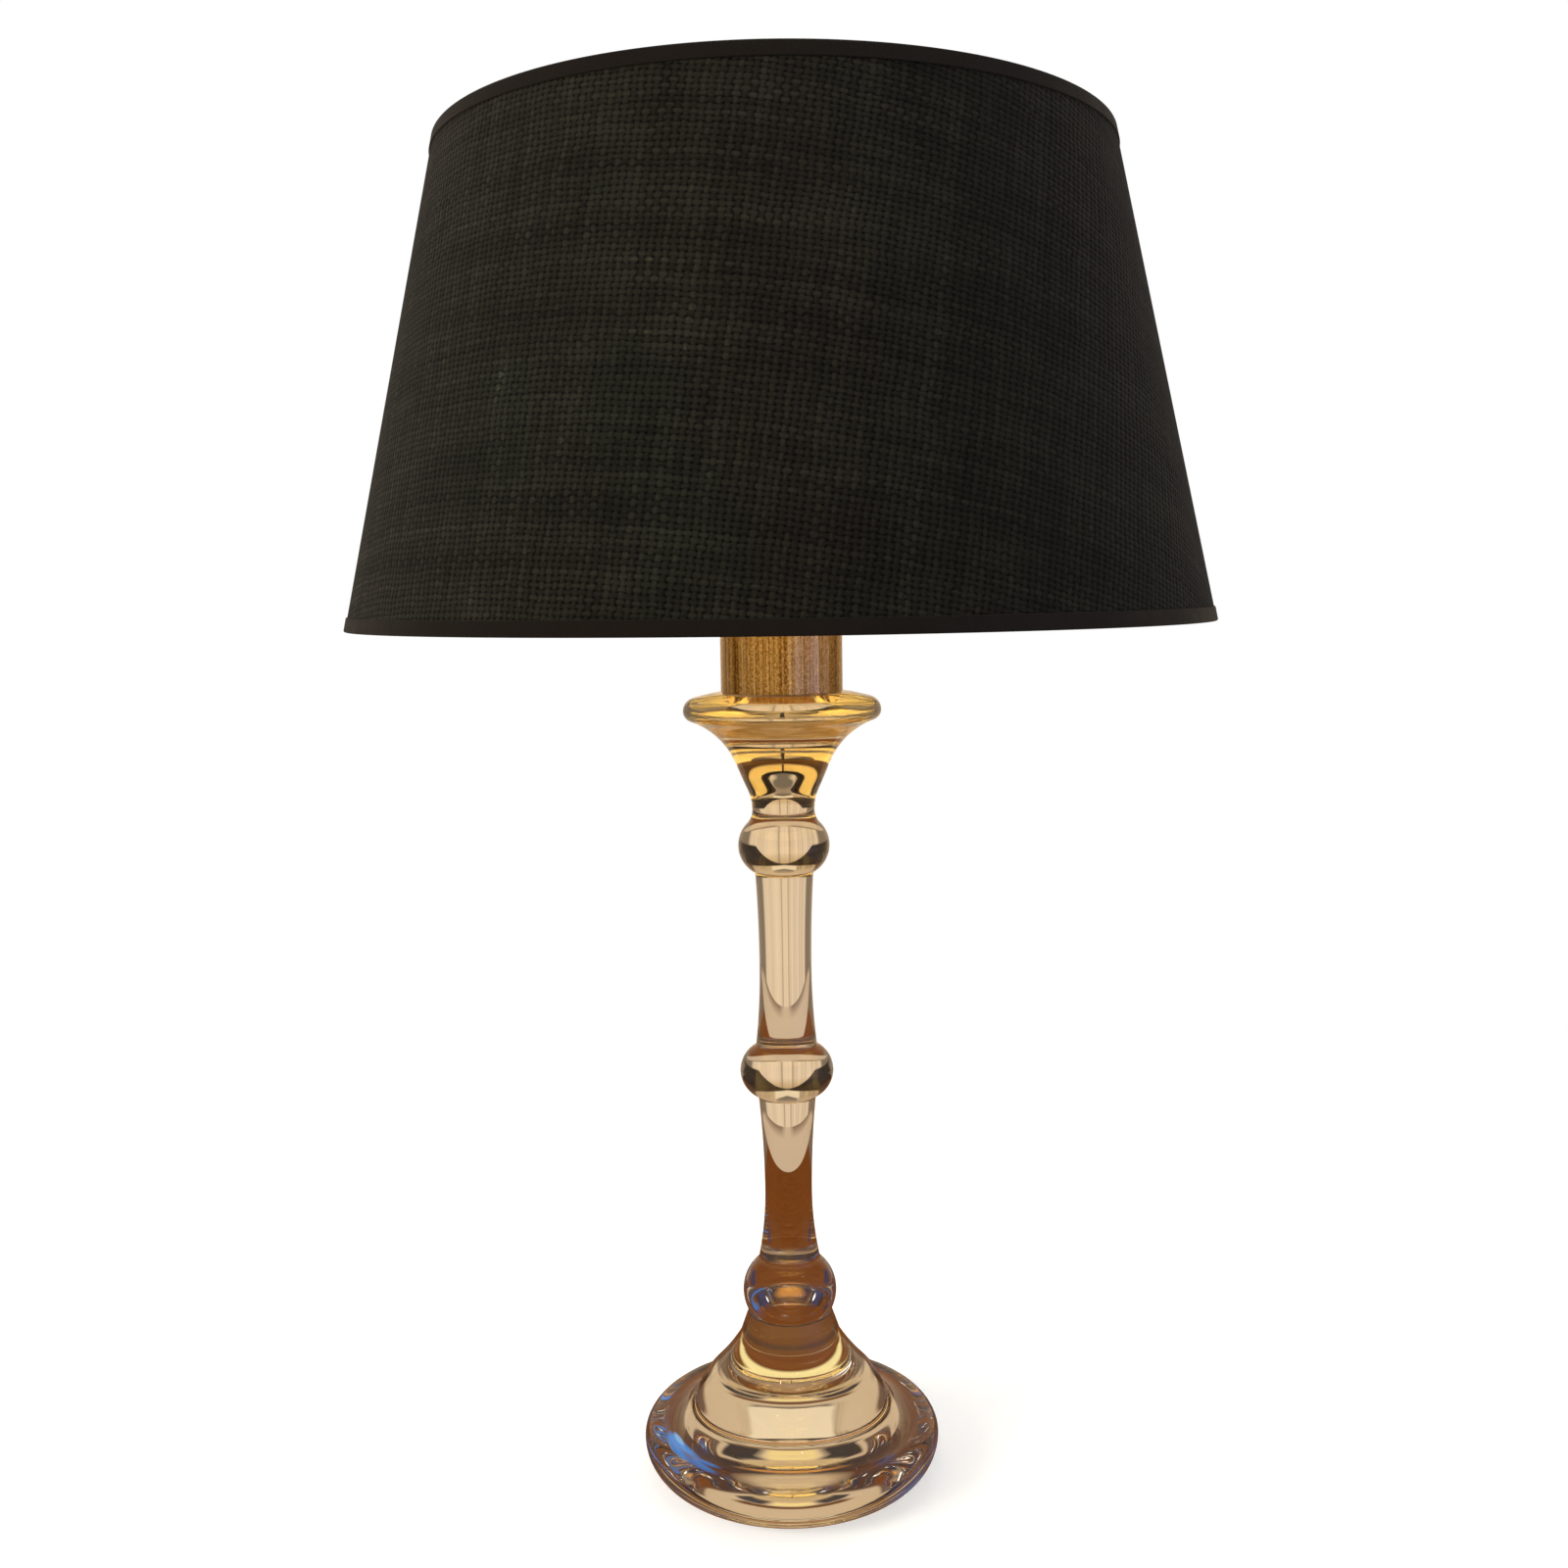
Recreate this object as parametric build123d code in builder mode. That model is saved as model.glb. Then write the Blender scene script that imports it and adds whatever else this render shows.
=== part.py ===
from build123d import *

import os
from math import atan, cos, sqrt, tan

# Table lamp: a solid crystal baluster, a brass cup with a screw lampholder, a bulb and an empire shade.
# Millimetres, +Z up, origin on the table under the lamp's axis, front towards -Y, cord inlet towards +Y.

# Crystal foot: radii from the axis, heights from the table
contact_radius = 49.6
ground_ring_width = 9.0
recess_depth = 3.0
foot_radius = 64.6
foot_rim_height = 14.5
shoulder_radius = 56.1
shoulder_height = 21.9
hollow_radius = 41.7
hollow_height = 30.9
flare_radius = 35.2
flare_height = 41.7
foot_neck_radius = 22.1
foot_neck_height = 58.6
collar_radius = 18.0
foot_height = 70.3

# Crystal knops and stems: each rises from the end of the one below
lower_knop_radius = 20.3
lower_knop_rise = 9.7
lower_knop_top_radius = 13.5
lower_knop_length = 22.5
lower_waist_radius = 10.2
lower_waist_rise = 31.4
lower_stem_top_radius = 12.5
lower_stem_length = 74.0
middle_knop_radius = 20.0
middle_knop_rise = 10.0
middle_knop_top_radius = 13.2
middle_knop_length = 21.7
upper_waist_radius = 11.1
upper_waist_rise = 35.0
upper_stem_top_radius = 12.35
upper_stem_length = 75.6
upper_knop_radius = 19.35
upper_knop_rise = 11.6
upper_knop_top_radius = 15.15
upper_knop_length = 21.2

# Crystal trumpet and flange above the upper knop
neck_radius = 13.15
neck_rise = 5.6
throat_radius = 15.1
throat_rise = 8.9
trumpet_radius = 19.4
trumpet_rise = 10.1
underside_radius = 38.2
underside_rise = 18.9
flange_radius = 41.5
flange_edge_rise = 4.1
flat_top_radius = 33.5
flange_crown = 7.2

# Brass cup, the plate bonded to the crystal under it and the threaded tube that ties the two
cup_radius = 25.4
cup_height = 44.0
cup_wall = 1.2
cup_top_thickness = 1.5
cup_edge_fillet = 1.0
bond_thickness = 0.5
bond_inset = 0.5
plate_thickness = 6.0
plate_clearance = 0.05
nipple_radius = 5.0
nipple_wall = 1.1
nipple_engagement = 5.5
nipple_slot_width = 5.6
nipple_slot_length = 11.0
thread_clearance = 0.05
lock_washer_radius = 9.5
lock_washer_thickness = 0.8
nut_across_flats = 14.0
nut_height = 3.5

# Cord inlet bush in the back of the cup
inlet_height = 12.0
inlet_bore_radius = 3.6
inlet_body_radius = 5.5
inlet_flange_radius = 7.5
inlet_projection = 2.4
inlet_depth = 3.0
inlet_clearance = 0.05

# Lampholder: heights are counted from its own base
boss_radius = 8.5
boss_height = 5.0
holder_radius = 19.2
holder_shoulder_height = 9.0
holder_cap_height = 24.0
holder_cap_wall = 1.8
holder_floor_height = 9.5
core_seat_radius = 12.5
core_seat_height = 14.0
core_rim_thickness = 5.0
core_top_height = 27.0
core_wire_hole_radius = 2.3
core_wire_hole_offset = 7.5
holder_fit = 0.15
mantle_radius = 20.0
mantle_top_height = 53.0
nose_radius = 18.5
nose_height = 4.0
locking_screw_radius = 1.45
terminal_screw_radius = 1.7
terminal_head_radius = 2.9
terminal_head_height = 2.2
terminal_length = 8.0
terminal_offset = 8.0
leaf_thickness = 0.6
centre_leaf_width = 6.0
centre_leaf_rise = 3.0
centre_leaf_tail = 9.0
centre_leaf_step = 4.0
centre_leaf_reach = 2.2
side_leaf_width = 5.0
side_leaf_foot = 8.0
side_leaf_bend_inset = 1.8
side_leaf_tip_gap = 0.3

# Shade rings on the lampholder's outer thread
ring_seat_height = 31.0
ring_flange_radius = 28.0
ring_flange_thickness = 2.0
ring_hub_radius = 23.6
lower_hub_height = 3.5
upper_hub_height = 6.0
grip_count = 24
grip_radius = 0.8
ring_gap = 0.1

# Bulb: heights are counted from the contact button
bulb_contact_gap = 0.05
eyelet_radius = 4.8
eyelet_height = 1.6
insulator_radius = 5.3
insulator_height = 5.4
insulator_lip = 1.2
bulb_cap_radius = 13.05
bulb_cap_wall = 0.6
bulb_cap_length = 20.0
bulb_bore_clearance = 0.35
bulb_fit = 0.05
globe_radius = 30.0
globe_sweep_radius = 45.0
globe_wall = 0.8
globe_neck_depth = 10.0
bulb_length = 105.0
stem_flare_thickness = 1.0
stem_tube_radius = 3.2
stem_tube_height = 48.0
stem_cone_height = 32.0
stem_rod_radius = 1.6
filament_count = 4
filament_radius = 1.0
filament_length = 34.0
filament_circle_radius = 9.0
filament_foot_height = 47.0
support_wire_radius = 0.35
support_fit = 0.02

# Shade: a straight cone of woven cloth on a film lining, bound at both rims
shade_bottom_radius = 175.0
shade_top_radius = 134.3
shade_height = 187.0
fabric_thickness = 1.0
lining_thickness = 0.5
glue_gap = 0.05
binding_width = 5.0
binding_thickness = 0.5
binding_return = 1.4
rim_wire_radius = 2.0
rim_wire_inset = 2.6
arm_wire_radius = 1.75
arm_count = 3
arm_first_angle = 90.0
arm_flat_length = 17.0
arm_bend_radius = 12.0
arm_weld_depth = 1.0
fitter_rise = 50.6
fitter_radius = 31.0
fitter_thickness = 1.5
fitter_clearance = 0.6

# Heights worked out up the crystal
lower_knop_top = foot_height + lower_knop_length
lower_stem_top = lower_knop_top + lower_stem_length
middle_knop_top = lower_stem_top + middle_knop_length
upper_stem_top = middle_knop_top + upper_stem_length
upper_knop_top = upper_stem_top + upper_knop_length
neck_height = upper_knop_top + neck_rise
throat_height = neck_height + throat_rise
trumpet_height = throat_height + trumpet_rise
underside_height = trumpet_height + underside_rise
flange_edge_height = underside_height + flange_edge_rise
glass_top = flange_edge_height + flange_crown

# Heights worked out up the brass and the lampholder
cup_base = glass_top + bond_thickness
plate_top = cup_base + plate_thickness
cup_top = cup_base + cup_height
washer_top = cup_top + lock_washer_thickness
holder_base = washer_top + nut_height
inlet_z = cup_base + inlet_height
core_seat = holder_base + core_seat_height
core_top = holder_base + core_top_height
holder_cap_rim = holder_base + holder_cap_height
mantle_top = holder_base + mantle_top_height
nose_top = mantle_top + nose_height
ring_seat = holder_base + ring_seat_height
fitter_bottom = ring_seat + ring_gap
fitter_top = fitter_bottom + fitter_thickness
upper_ring_bottom = fitter_top + ring_gap
bulb_base = core_top + centre_leaf_rise + bulb_contact_gap

# Radii that mate with their neighbours
threaded_bore = nipple_radius + thread_clearance
nipple_bore = nipple_radius - nipple_wall
bulb_bore_radius = bulb_cap_radius + bulb_bore_clearance
cap_bore_radius = holder_radius - holder_cap_wall
core_rim_radius = cap_bore_radius - holder_fit
core_column_radius = bulb_bore_radius - holder_fit
ring_bore_radius = mantle_radius + thread_clearance
bulb_cap_bore = bulb_cap_radius - bulb_cap_wall
globe_neck_radius = bulb_cap_bore - bulb_fit

# The shade hangs from the lower ring by its carrier
shade_bottom = fitter_bottom - fitter_rise
shade_top = shade_bottom + shade_height
shade_slope = atan((shade_bottom_radius - shade_top_radius) / shade_height)
lining_inset = fabric_thickness + glue_gap
panel_thickness = lining_inset + lining_thickness
bottom_wire_height = shade_bottom + rim_wire_inset
top_wire_height = shade_top - rim_wire_inset


def panel_radius(height, inset=0.0):
    """Radius of the shade's outside at a height, less an inset measured square to the cloth."""
    return shade_bottom_radius - (height - shade_bottom) * tan(shade_slope) - inset / cos(shade_slope)


def wire_circle_radius(height):
    """Radius of a rim wire's centre line where it lies against the lining."""
    return panel_radius(height, panel_thickness + glue_gap + rim_wire_radius)


def knop(foot, widest_radius, widest_rise, top_radius, length):
    """Draw a knop's bulge up from the point foot and return its top point."""
    top = (top_radius, foot[1] + length)
    ThreePointArc(foot, (widest_radius, foot[1] + widest_rise), top)
    return top


def stem(foot, waist_radius, waist_rise, top_radius, length):
    """Draw a waisted stem up from the point foot and return its top point."""
    waist = (waist_radius, foot[1] + waist_rise)
    top = (top_radius, foot[1] + length)
    TangentArc(waist, foot, tangent=(0, -1))
    TangentArc(waist, top, tangent=(0, 1))
    return top


# Crystal base: one turned solid with a ground ring and a hollowed underside
with BuildPart() as glass_base:
    with BuildSketch(Plane.XZ) as glass_section:
        with BuildLine() as glass_outline:
            rim = (foot_radius, foot_rim_height)
            shoulder = (shoulder_radius, shoulder_height)
            hollow = (hollow_radius, hollow_height)
            flare = (flare_radius, flare_height)
            foot_neck = (foot_neck_radius, foot_neck_height)
            collar = (collar_radius, foot_height)
            ground_ring_radius = contact_radius - ground_ring_width
            TangentArc((0, recess_depth), (ground_ring_radius, 0), tangent=(1, 0))
            Line((ground_ring_radius, 0), (contact_radius, 0))
            TangentArc(rim, (contact_radius, 0), tangent=(0, -1))
            rim_arc = TangentArc(rim, shoulder, tangent=(0, 1))
            slope_arc = TangentArc(shoulder, hollow, tangent=rim_arc % 1)
            rise_arc = TangentArc(hollow, flare, tangent=slope_arc % 1)
            TangentArc(flare, foot_neck, tangent=rise_arc % 1)
            Line(foot_neck, collar)
            joint = knop(
                collar, lower_knop_radius, lower_knop_rise, lower_knop_top_radius, lower_knop_length
            )
            joint = stem(
                joint, lower_waist_radius, lower_waist_rise, lower_stem_top_radius, lower_stem_length
            )
            joint = knop(
                joint, middle_knop_radius, middle_knop_rise, middle_knop_top_radius, middle_knop_length
            )
            joint = stem(
                joint, upper_waist_radius, upper_waist_rise, upper_stem_top_radius, upper_stem_length
            )
            joint = knop(
                joint, upper_knop_radius, upper_knop_rise, upper_knop_top_radius, upper_knop_length
            )
            neck = (neck_radius, neck_height)
            throat = (throat_radius, throat_height)
            trumpet = (trumpet_radius, trumpet_height)
            underside = (underside_radius, underside_height)
            flange_edge = (flange_radius, flange_edge_height)
            TangentArc(neck, joint, tangent=(0, -1))
            neck_arc = TangentArc(neck, throat, tangent=(0, 1))
            throat_arc = TangentArc(throat, trumpet, tangent=neck_arc % 1)
            TangentArc(trumpet, underside, tangent=throat_arc % 1)
            TangentArc(flange_edge, underside, tangent=(0, -1))
            TangentArc(flange_edge, (flat_top_radius, glass_top), tangent=(0, 1))
            Line((flat_top_radius, glass_top), (0, glass_top))
            Line((0, glass_top), (0, recess_depth))
        make_face()
    revolve(axis=Axis.Z)

# Clear layer that bonds the plate to the crystal and seats the cup's rim
with BuildPart() as bond_layer:
    with BuildSketch(Plane.XY.offset(glass_top)):
        Circle(cup_radius - bond_inset)
    extrude(amount=bond_thickness)

# Brass plate bonded to the crystal, tapped in the middle for the tube
with BuildPart() as base_plate:
    with BuildSketch(Plane.XY.offset(cup_base)):
        Circle(cup_radius - cup_wall - plate_clearance)
        Circle(threaded_bore, mode=Mode.SUBTRACT)
    extrude(amount=plate_thickness)

# Brass cup, open below over the plate, with a hole in its top for the tube and one in its back for the inlet bush
with BuildPart() as brass_cup:
    with BuildSketch(Plane.XY.offset(cup_base)):
        Circle(cup_radius)
    extrude(amount=cup_height)
    fillet(brass_cup.edges().group_by(Axis.Z)[-1], radius=cup_edge_fillet)
    with BuildSketch(Plane.XY.offset(cup_base)):
        Circle(cup_radius - cup_wall)
    extrude(amount=cup_height - cup_top_thickness, mode=Mode.SUBTRACT)
    with Locations((0, 0, cup_top)):
        Hole(threaded_bore)
    with BuildSketch(Plane.XZ.offset(-cup_radius - inlet_projection)):
        with Locations((0, inlet_z)):
            Circle(inlet_body_radius + inlet_clearance)
    extrude(amount=cup_radius, mode=Mode.SUBTRACT)

# Inlet bush: a flange saddled to the cup and a body through its wall
with BuildPart() as cord_bush:
    with BuildSketch(Plane.XZ.offset(-cup_radius - inlet_projection)):
        with Locations((0, inlet_z)):
            Circle(inlet_flange_radius)
    extrude(amount=inlet_projection + cup_radius / 2)
    with BuildSketch(Plane.XY.offset(cup_base)):
        Circle(cup_radius + inlet_clearance)
    extrude(amount=cup_height, mode=Mode.SUBTRACT)
    with BuildSketch(Plane.XZ.offset(-cup_radius - inlet_projection)):
        with Locations((0, inlet_z)):
            Circle(inlet_body_radius)
    extrude(amount=inlet_projection + cup_wall + inlet_depth)
    with BuildSketch(Plane.XZ.offset(-cup_radius - inlet_projection)):
        with Locations((0, inlet_z)):
            Circle(inlet_bore_radius)
    extrude(amount=cup_radius, mode=Mode.SUBTRACT)

# Threaded tube from the plate, through the cup, into the lampholder, with a slot that takes the wires in
with BuildPart() as threaded_nipple:
    nipple_foot = plate_top - nipple_engagement
    with BuildSketch(Plane.XY.offset(nipple_foot)):
        Circle(nipple_radius)
        Circle(nipple_bore, mode=Mode.SUBTRACT)
    extrude(amount=holder_base + boss_height - nipple_foot)
    with BuildSketch(Plane.XZ.offset(-nipple_radius)):
        with Locations((0, inlet_z)):
            SlotOverall(nipple_slot_length, nipple_slot_width, rotation=90)
    extrude(amount=nipple_radius, mode=Mode.SUBTRACT)

# Lock washer on the cup's top
with BuildPart() as lock_washer:
    with BuildSketch(Plane.XY.offset(cup_top)):
        Circle(lock_washer_radius)
        Circle(threaded_bore, mode=Mode.SUBTRACT)
    extrude(amount=lock_washer_thickness)

# Hexagon nut that clamps the cup and jams the lampholder
with BuildPart() as nipple_nut:
    with BuildSketch(Plane.XY.offset(washer_top)):
        RegularPolygon(nut_across_flats / 2, 6, major_radius=False)
        Circle(threaded_bore, mode=Mode.SUBTRACT)
    extrude(amount=nut_height)

# Lampholder cap with a threaded boss and a ledge for the porcelain
with BuildPart() as holder_cap:
    with BuildSketch(Plane.XZ):
        with BuildLine():
            Polyline(
                (threaded_bore, holder_base),
                (boss_radius, holder_base),
                (boss_radius, holder_base + boss_height),
                (holder_radius, holder_base + holder_shoulder_height),
                (holder_radius, holder_cap_rim),
                (cap_bore_radius, holder_cap_rim),
                (cap_bore_radius, core_seat),
                (core_seat_radius, core_seat),
                (core_seat_radius, holder_base + holder_floor_height),
                (threaded_bore, holder_base + holder_floor_height),
                close=True,
            )
        make_face()
    revolve(axis=Axis.Z)
    with BuildSketch(Plane.YZ.offset(-boss_radius)):
        with Locations((0, holder_base + boss_height / 2)):
            Circle(locking_screw_radius + thread_clearance)
    extrude(amount=boss_radius, mode=Mode.SUBTRACT)

# Grub screw that locks the cap on the tube
with BuildPart() as holder_locking_screw:
    with BuildSketch(Plane.YZ.offset(-boss_radius)):
        with Locations((0, holder_base + boss_height / 2)):
            Circle(locking_screw_radius)
    extrude(amount=boss_radius - threaded_bore - thread_clearance)

# Porcelain core with screw and wire holes
with BuildPart() as holder_core:
    with BuildSketch(Plane.XY.offset(core_seat)):
        Circle(core_rim_radius)
    extrude(amount=core_rim_thickness)
    with BuildSketch(Plane.XY.offset(core_seat)):
        Circle(core_column_radius)
    extrude(amount=core_top - core_seat)
    with Locations((terminal_offset, 0, core_seat), (-terminal_offset, 0, core_seat)):
        Cylinder(
            terminal_screw_radius + thread_clearance,
            terminal_length + thread_clearance,
            align=(Align.CENTER, Align.CENTER, Align.MIN),
            mode=Mode.SUBTRACT,
        )
    with Locations((0, core_wire_hole_offset, core_top), (0, -core_wire_hole_offset, core_top)):
        Hole(core_wire_hole_radius)

# Cheese-head terminal screws under the porcelain
with BuildPart() as terminal_screws:
    with Locations((terminal_offset, 0, core_seat), (-terminal_offset, 0, core_seat)):
        Cylinder(terminal_head_radius, terminal_head_height, align=(Align.CENTER, Align.CENTER, Align.MAX))
        Cylinder(terminal_screw_radius, terminal_length, align=(Align.CENTER, Align.CENTER, Align.MIN))

# Sprung centre contact: a leaf that steps up under the bulb's button
with BuildPart() as centre_contact:
    leaf_middle = leaf_thickness / 2
    with BuildSketch(Plane.XZ):
        with BuildLine():
            Polyline(
                (-centre_leaf_tail, core_top + leaf_middle),
                (-centre_leaf_step, core_top + leaf_middle),
                (-centre_leaf_reach, core_top + centre_leaf_rise - leaf_middle),
                (centre_leaf_reach, core_top + centre_leaf_rise - leaf_middle),
            )
        trace(line_width=leaf_thickness)
    extrude(amount=centre_leaf_width / 2, both=True)

# Side contacts: a pair of leaves that reach up to the rim of the bulb's metal cap
with BuildPart() as side_contacts:
    side_leaf_tip = bulb_base + eyelet_height + insulator_height - side_leaf_tip_gap - leaf_middle
    side_leaf_bend = core_column_radius - side_leaf_bend_inset
    with BuildSketch(Plane.YZ):
        with BuildLine():
            Polyline(
                (side_leaf_foot, core_top + leaf_middle),
                (side_leaf_bend, core_top + leaf_middle),
                (bulb_cap_bore - leaf_middle, side_leaf_tip),
            )
        trace(line_width=leaf_thickness)
    extrude(amount=side_leaf_width / 2, both=True)
    mirror(about=Plane.XZ)

# Lampholder shell: skirt in the cap, threaded mantle, nose, and the bore that takes the bulb
with BuildPart() as holder_shell:
    skirt_bottom = core_seat + core_rim_thickness
    with BuildSketch(Plane.XZ):
        with BuildLine():
            Polyline(
                (bulb_bore_radius, skirt_bottom),
                (core_rim_radius, skirt_bottom),
                (core_rim_radius, holder_cap_rim + holder_fit),
                (mantle_radius, holder_cap_rim + holder_fit),
                (mantle_radius, mantle_top),
                (nose_radius, mantle_top),
                (nose_radius, nose_top),
                (bulb_bore_radius, nose_top),
                close=True,
            )
        make_face()
    revolve(axis=Axis.Z)

# Lower shade ring that the shade's carrier stands on
with BuildPart() as shade_ring_lower:
    with BuildSketch(Plane.XY.offset(ring_seat)):
        Circle(ring_flange_radius)
    extrude(amount=-ring_flange_thickness)
    with BuildSketch(Plane.XY.offset(ring_seat - ring_flange_thickness)):
        Circle(ring_hub_radius)
        with PolarLocations(ring_hub_radius, grip_count):
            Circle(grip_radius, mode=Mode.SUBTRACT)
    extrude(amount=-lower_hub_height)
    with Locations((0, 0, ring_seat)):
        Hole(ring_bore_radius)

# Upper shade ring that screws down on the carrier
with BuildPart() as shade_ring_upper:
    with BuildSketch(Plane.XY.offset(upper_ring_bottom)):
        Circle(ring_flange_radius)
    extrude(amount=ring_flange_thickness)
    with BuildSketch(Plane.XY.offset(upper_ring_bottom + ring_flange_thickness)):
        Circle(ring_hub_radius)
        with PolarLocations(ring_hub_radius, grip_count):
            Circle(grip_radius, mode=Mode.SUBTRACT)
    extrude(amount=upper_hub_height)
    with Locations((0, 0, upper_ring_bottom)):
        Hole(ring_bore_radius)

# Bulb's contact button
with BuildPart() as bulb_eyelet:
    with BuildSketch(Plane.XY.offset(bulb_base)):
        Circle(eyelet_radius)
    extrude(amount=eyelet_height)

# Bulb's black glass insulator, a cone with a lip inside the metal cap
with BuildPart() as bulb_insulator:
    insulator_foot = bulb_base + eyelet_height
    bulb_cap_foot = insulator_foot + insulator_height
    with BuildSketch(Plane.XZ):
        with BuildLine():
            Polyline(
                (0, insulator_foot),
                (insulator_radius, insulator_foot),
                (globe_neck_radius, bulb_cap_foot),
                (globe_neck_radius, bulb_cap_foot + insulator_lip),
                (0, bulb_cap_foot + insulator_lip),
                close=True,
            )
        make_face()
    revolve(axis=Axis.Z)

# Bulb's metal screw cap
with BuildPart() as bulb_cap:
    with BuildSketch(Plane.XY.offset(bulb_cap_foot)):
        Circle(bulb_cap_radius)
        Circle(bulb_cap_bore, mode=Mode.SUBTRACT)
    extrude(amount=bulb_cap_length)


def globe_outline(inset):
    """Draw the globe's half outline, moved in by an inset, with its foot and axis lines."""
    ball = globe_radius - inset
    sweep = globe_sweep_radius + inset
    neck = globe_neck_radius - inset
    centre_drop = sqrt((ball + sweep) ** 2 - (neck + sweep) ** 2)
    sweep_height = globe_centre - centre_drop
    share = ball / (ball + sweep)
    meeting = (share * (neck + sweep), globe_centre - share * centre_drop)
    crown = (0, globe_centre + ball)
    sweep_arc = TangentArc((neck, sweep_height), meeting, tangent=(0, 1))
    TangentArc(meeting, crown, tangent=sweep_arc % 1)
    Polyline(crown, (0, globe_foot), (neck, globe_foot), (neck, sweep_height))


# Bulb's thin glass globe, cemented into the cap
with BuildPart() as bulb_globe:
    globe_centre = bulb_base + bulb_length - globe_radius
    globe_foot = bulb_cap_foot + bulb_cap_length - globe_neck_depth
    with BuildSketch(Plane.XZ):
        with BuildLine():
            globe_outline(0.0)
        make_face()
    revolve(axis=Axis.Z)
    with BuildSketch(Plane.XZ):
        with BuildLine():
            globe_outline(globe_wall)
        make_face()
    revolve(axis=Axis.Z, mode=Mode.SUBTRACT)

# Glass stem inside the globe: a flare sealed in the neck, a tube and a rod
with BuildPart() as bulb_stem:
    stem_radius = globe_neck_radius - globe_wall - bulb_fit
    filament_top = bulb_base + filament_foot_height + filament_length
    with BuildSketch(Plane.XZ):
        with BuildLine():
            Polyline(
                (0, globe_foot),
                (stem_radius, globe_foot),
                (stem_radius, globe_foot + stem_flare_thickness),
                (stem_tube_radius, bulb_base + stem_cone_height),
                (stem_tube_radius, bulb_base + stem_tube_height),
                (stem_rod_radius, bulb_base + stem_tube_height),
                (stem_rod_radius, filament_top + stem_rod_radius),
                (0, filament_top + stem_rod_radius),
                close=True,
            )
        make_face()
    revolve(axis=Axis.Z)

# Light rods in a ring round the stem
with BuildPart() as bulb_filaments:
    with BuildSketch(Plane.XY.offset(bulb_base + filament_foot_height)):
        with PolarLocations(filament_circle_radius, filament_count):
            Circle(filament_radius)
    extrude(amount=filament_length)

# Wires that hold each light rod at its foot and its top
with BuildPart() as filament_supports:
    wire_drop = support_wire_radius + support_fit
    wire_reach = filament_circle_radius + filament_radius
    foot_wire_height = bulb_base + filament_foot_height - wire_drop
    top_wire_start = stem_rod_radius + support_fit
    foot_wire_start = stem_tube_radius + support_fit
    wire_levels = ((foot_wire_height, foot_wire_start), (filament_top + wire_drop, top_wire_start))
    for wire_height, wire_start in wire_levels:
        with Locations((0, 0, wire_height)):
            with PolarLocations(wire_start, filament_count):
                Cylinder(
                    support_wire_radius,
                    wire_reach - wire_start,
                    rotation=(0, 90, 0),
                    align=(Align.CENTER, Align.CENTER, Align.MIN),
                )

# Carrier ring that the shade rings clamp
with BuildPart() as fitter_ring:
    with BuildSketch(Plane.XY.offset(fitter_bottom)):
        Circle(fitter_radius)
        Circle(mantle_radius + fitter_clearance, mode=Mode.SUBTRACT)
    extrude(amount=fitter_thickness)

# Wire in the bottom rim
with BuildPart() as bottom_ring:
    with BuildSketch(Plane.XZ):
        with Locations((wire_circle_radius(bottom_wire_height), bottom_wire_height)):
            Circle(rim_wire_radius)
    revolve(axis=Axis.Z)

# Wire in the top rim
with BuildPart() as top_ring:
    with BuildSketch(Plane.XZ):
        with Locations((wire_circle_radius(top_wire_height), top_wire_height)):
            Circle(rim_wire_radius)
    revolve(axis=Axis.Z)

# One carrier arm: a bent wire welded to the carrier ring and coped onto the bottom wire
with BuildPart() as carrier_arm:
    arm_height = fitter_bottom + fitter_thickness / 2
    arm_start = fitter_radius - arm_weld_depth
    with BuildLine(Plane.XZ) as arm_path:
        FilletPolyline(
            (arm_start, arm_height),
            (fitter_radius + arm_flat_length, arm_height),
            (wire_circle_radius(bottom_wire_height), bottom_wire_height),
            radius=arm_bend_radius,
        )
    with BuildSketch(Plane.YZ.offset(arm_start)):
        with Locations((0, arm_height)):
            Circle(arm_wire_radius)
    sweep(path=arm_path.line)
    add(fitter_ring.part, mode=Mode.SUBTRACT)
    add(bottom_ring.part, mode=Mode.SUBTRACT)

# The carrier's arms, evenly spaced, with one towards the back
with BuildPart() as spider_arms:
    with PolarLocations(0, arm_count, start_angle=arm_first_angle):
        add(carrier_arm.part)

# Film lining bonded to the inside of the cloth
with BuildPart() as shade_lining:
    with BuildSketch(Plane.XZ):
        with BuildLine():
            Polyline(
                (panel_radius(shade_bottom, lining_inset), shade_bottom),
                (panel_radius(shade_top, lining_inset), shade_top),
                (panel_radius(shade_top, panel_thickness), shade_top),
                (panel_radius(shade_bottom, panel_thickness), shade_bottom),
                close=True,
            )
        make_face()
    revolve(axis=Axis.Z)

# Woven cloth panel
with BuildPart() as shade_fabric:
    with BuildSketch(Plane.XZ):
        with BuildLine():
            Polyline(
                (panel_radius(shade_bottom), shade_bottom),
                (panel_radius(shade_top), shade_top),
                (panel_radius(shade_top, fabric_thickness), shade_top),
                (panel_radius(shade_bottom, fabric_thickness), shade_bottom),
                close=True,
            )
        make_face()
    revolve(axis=Axis.Z)


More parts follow.
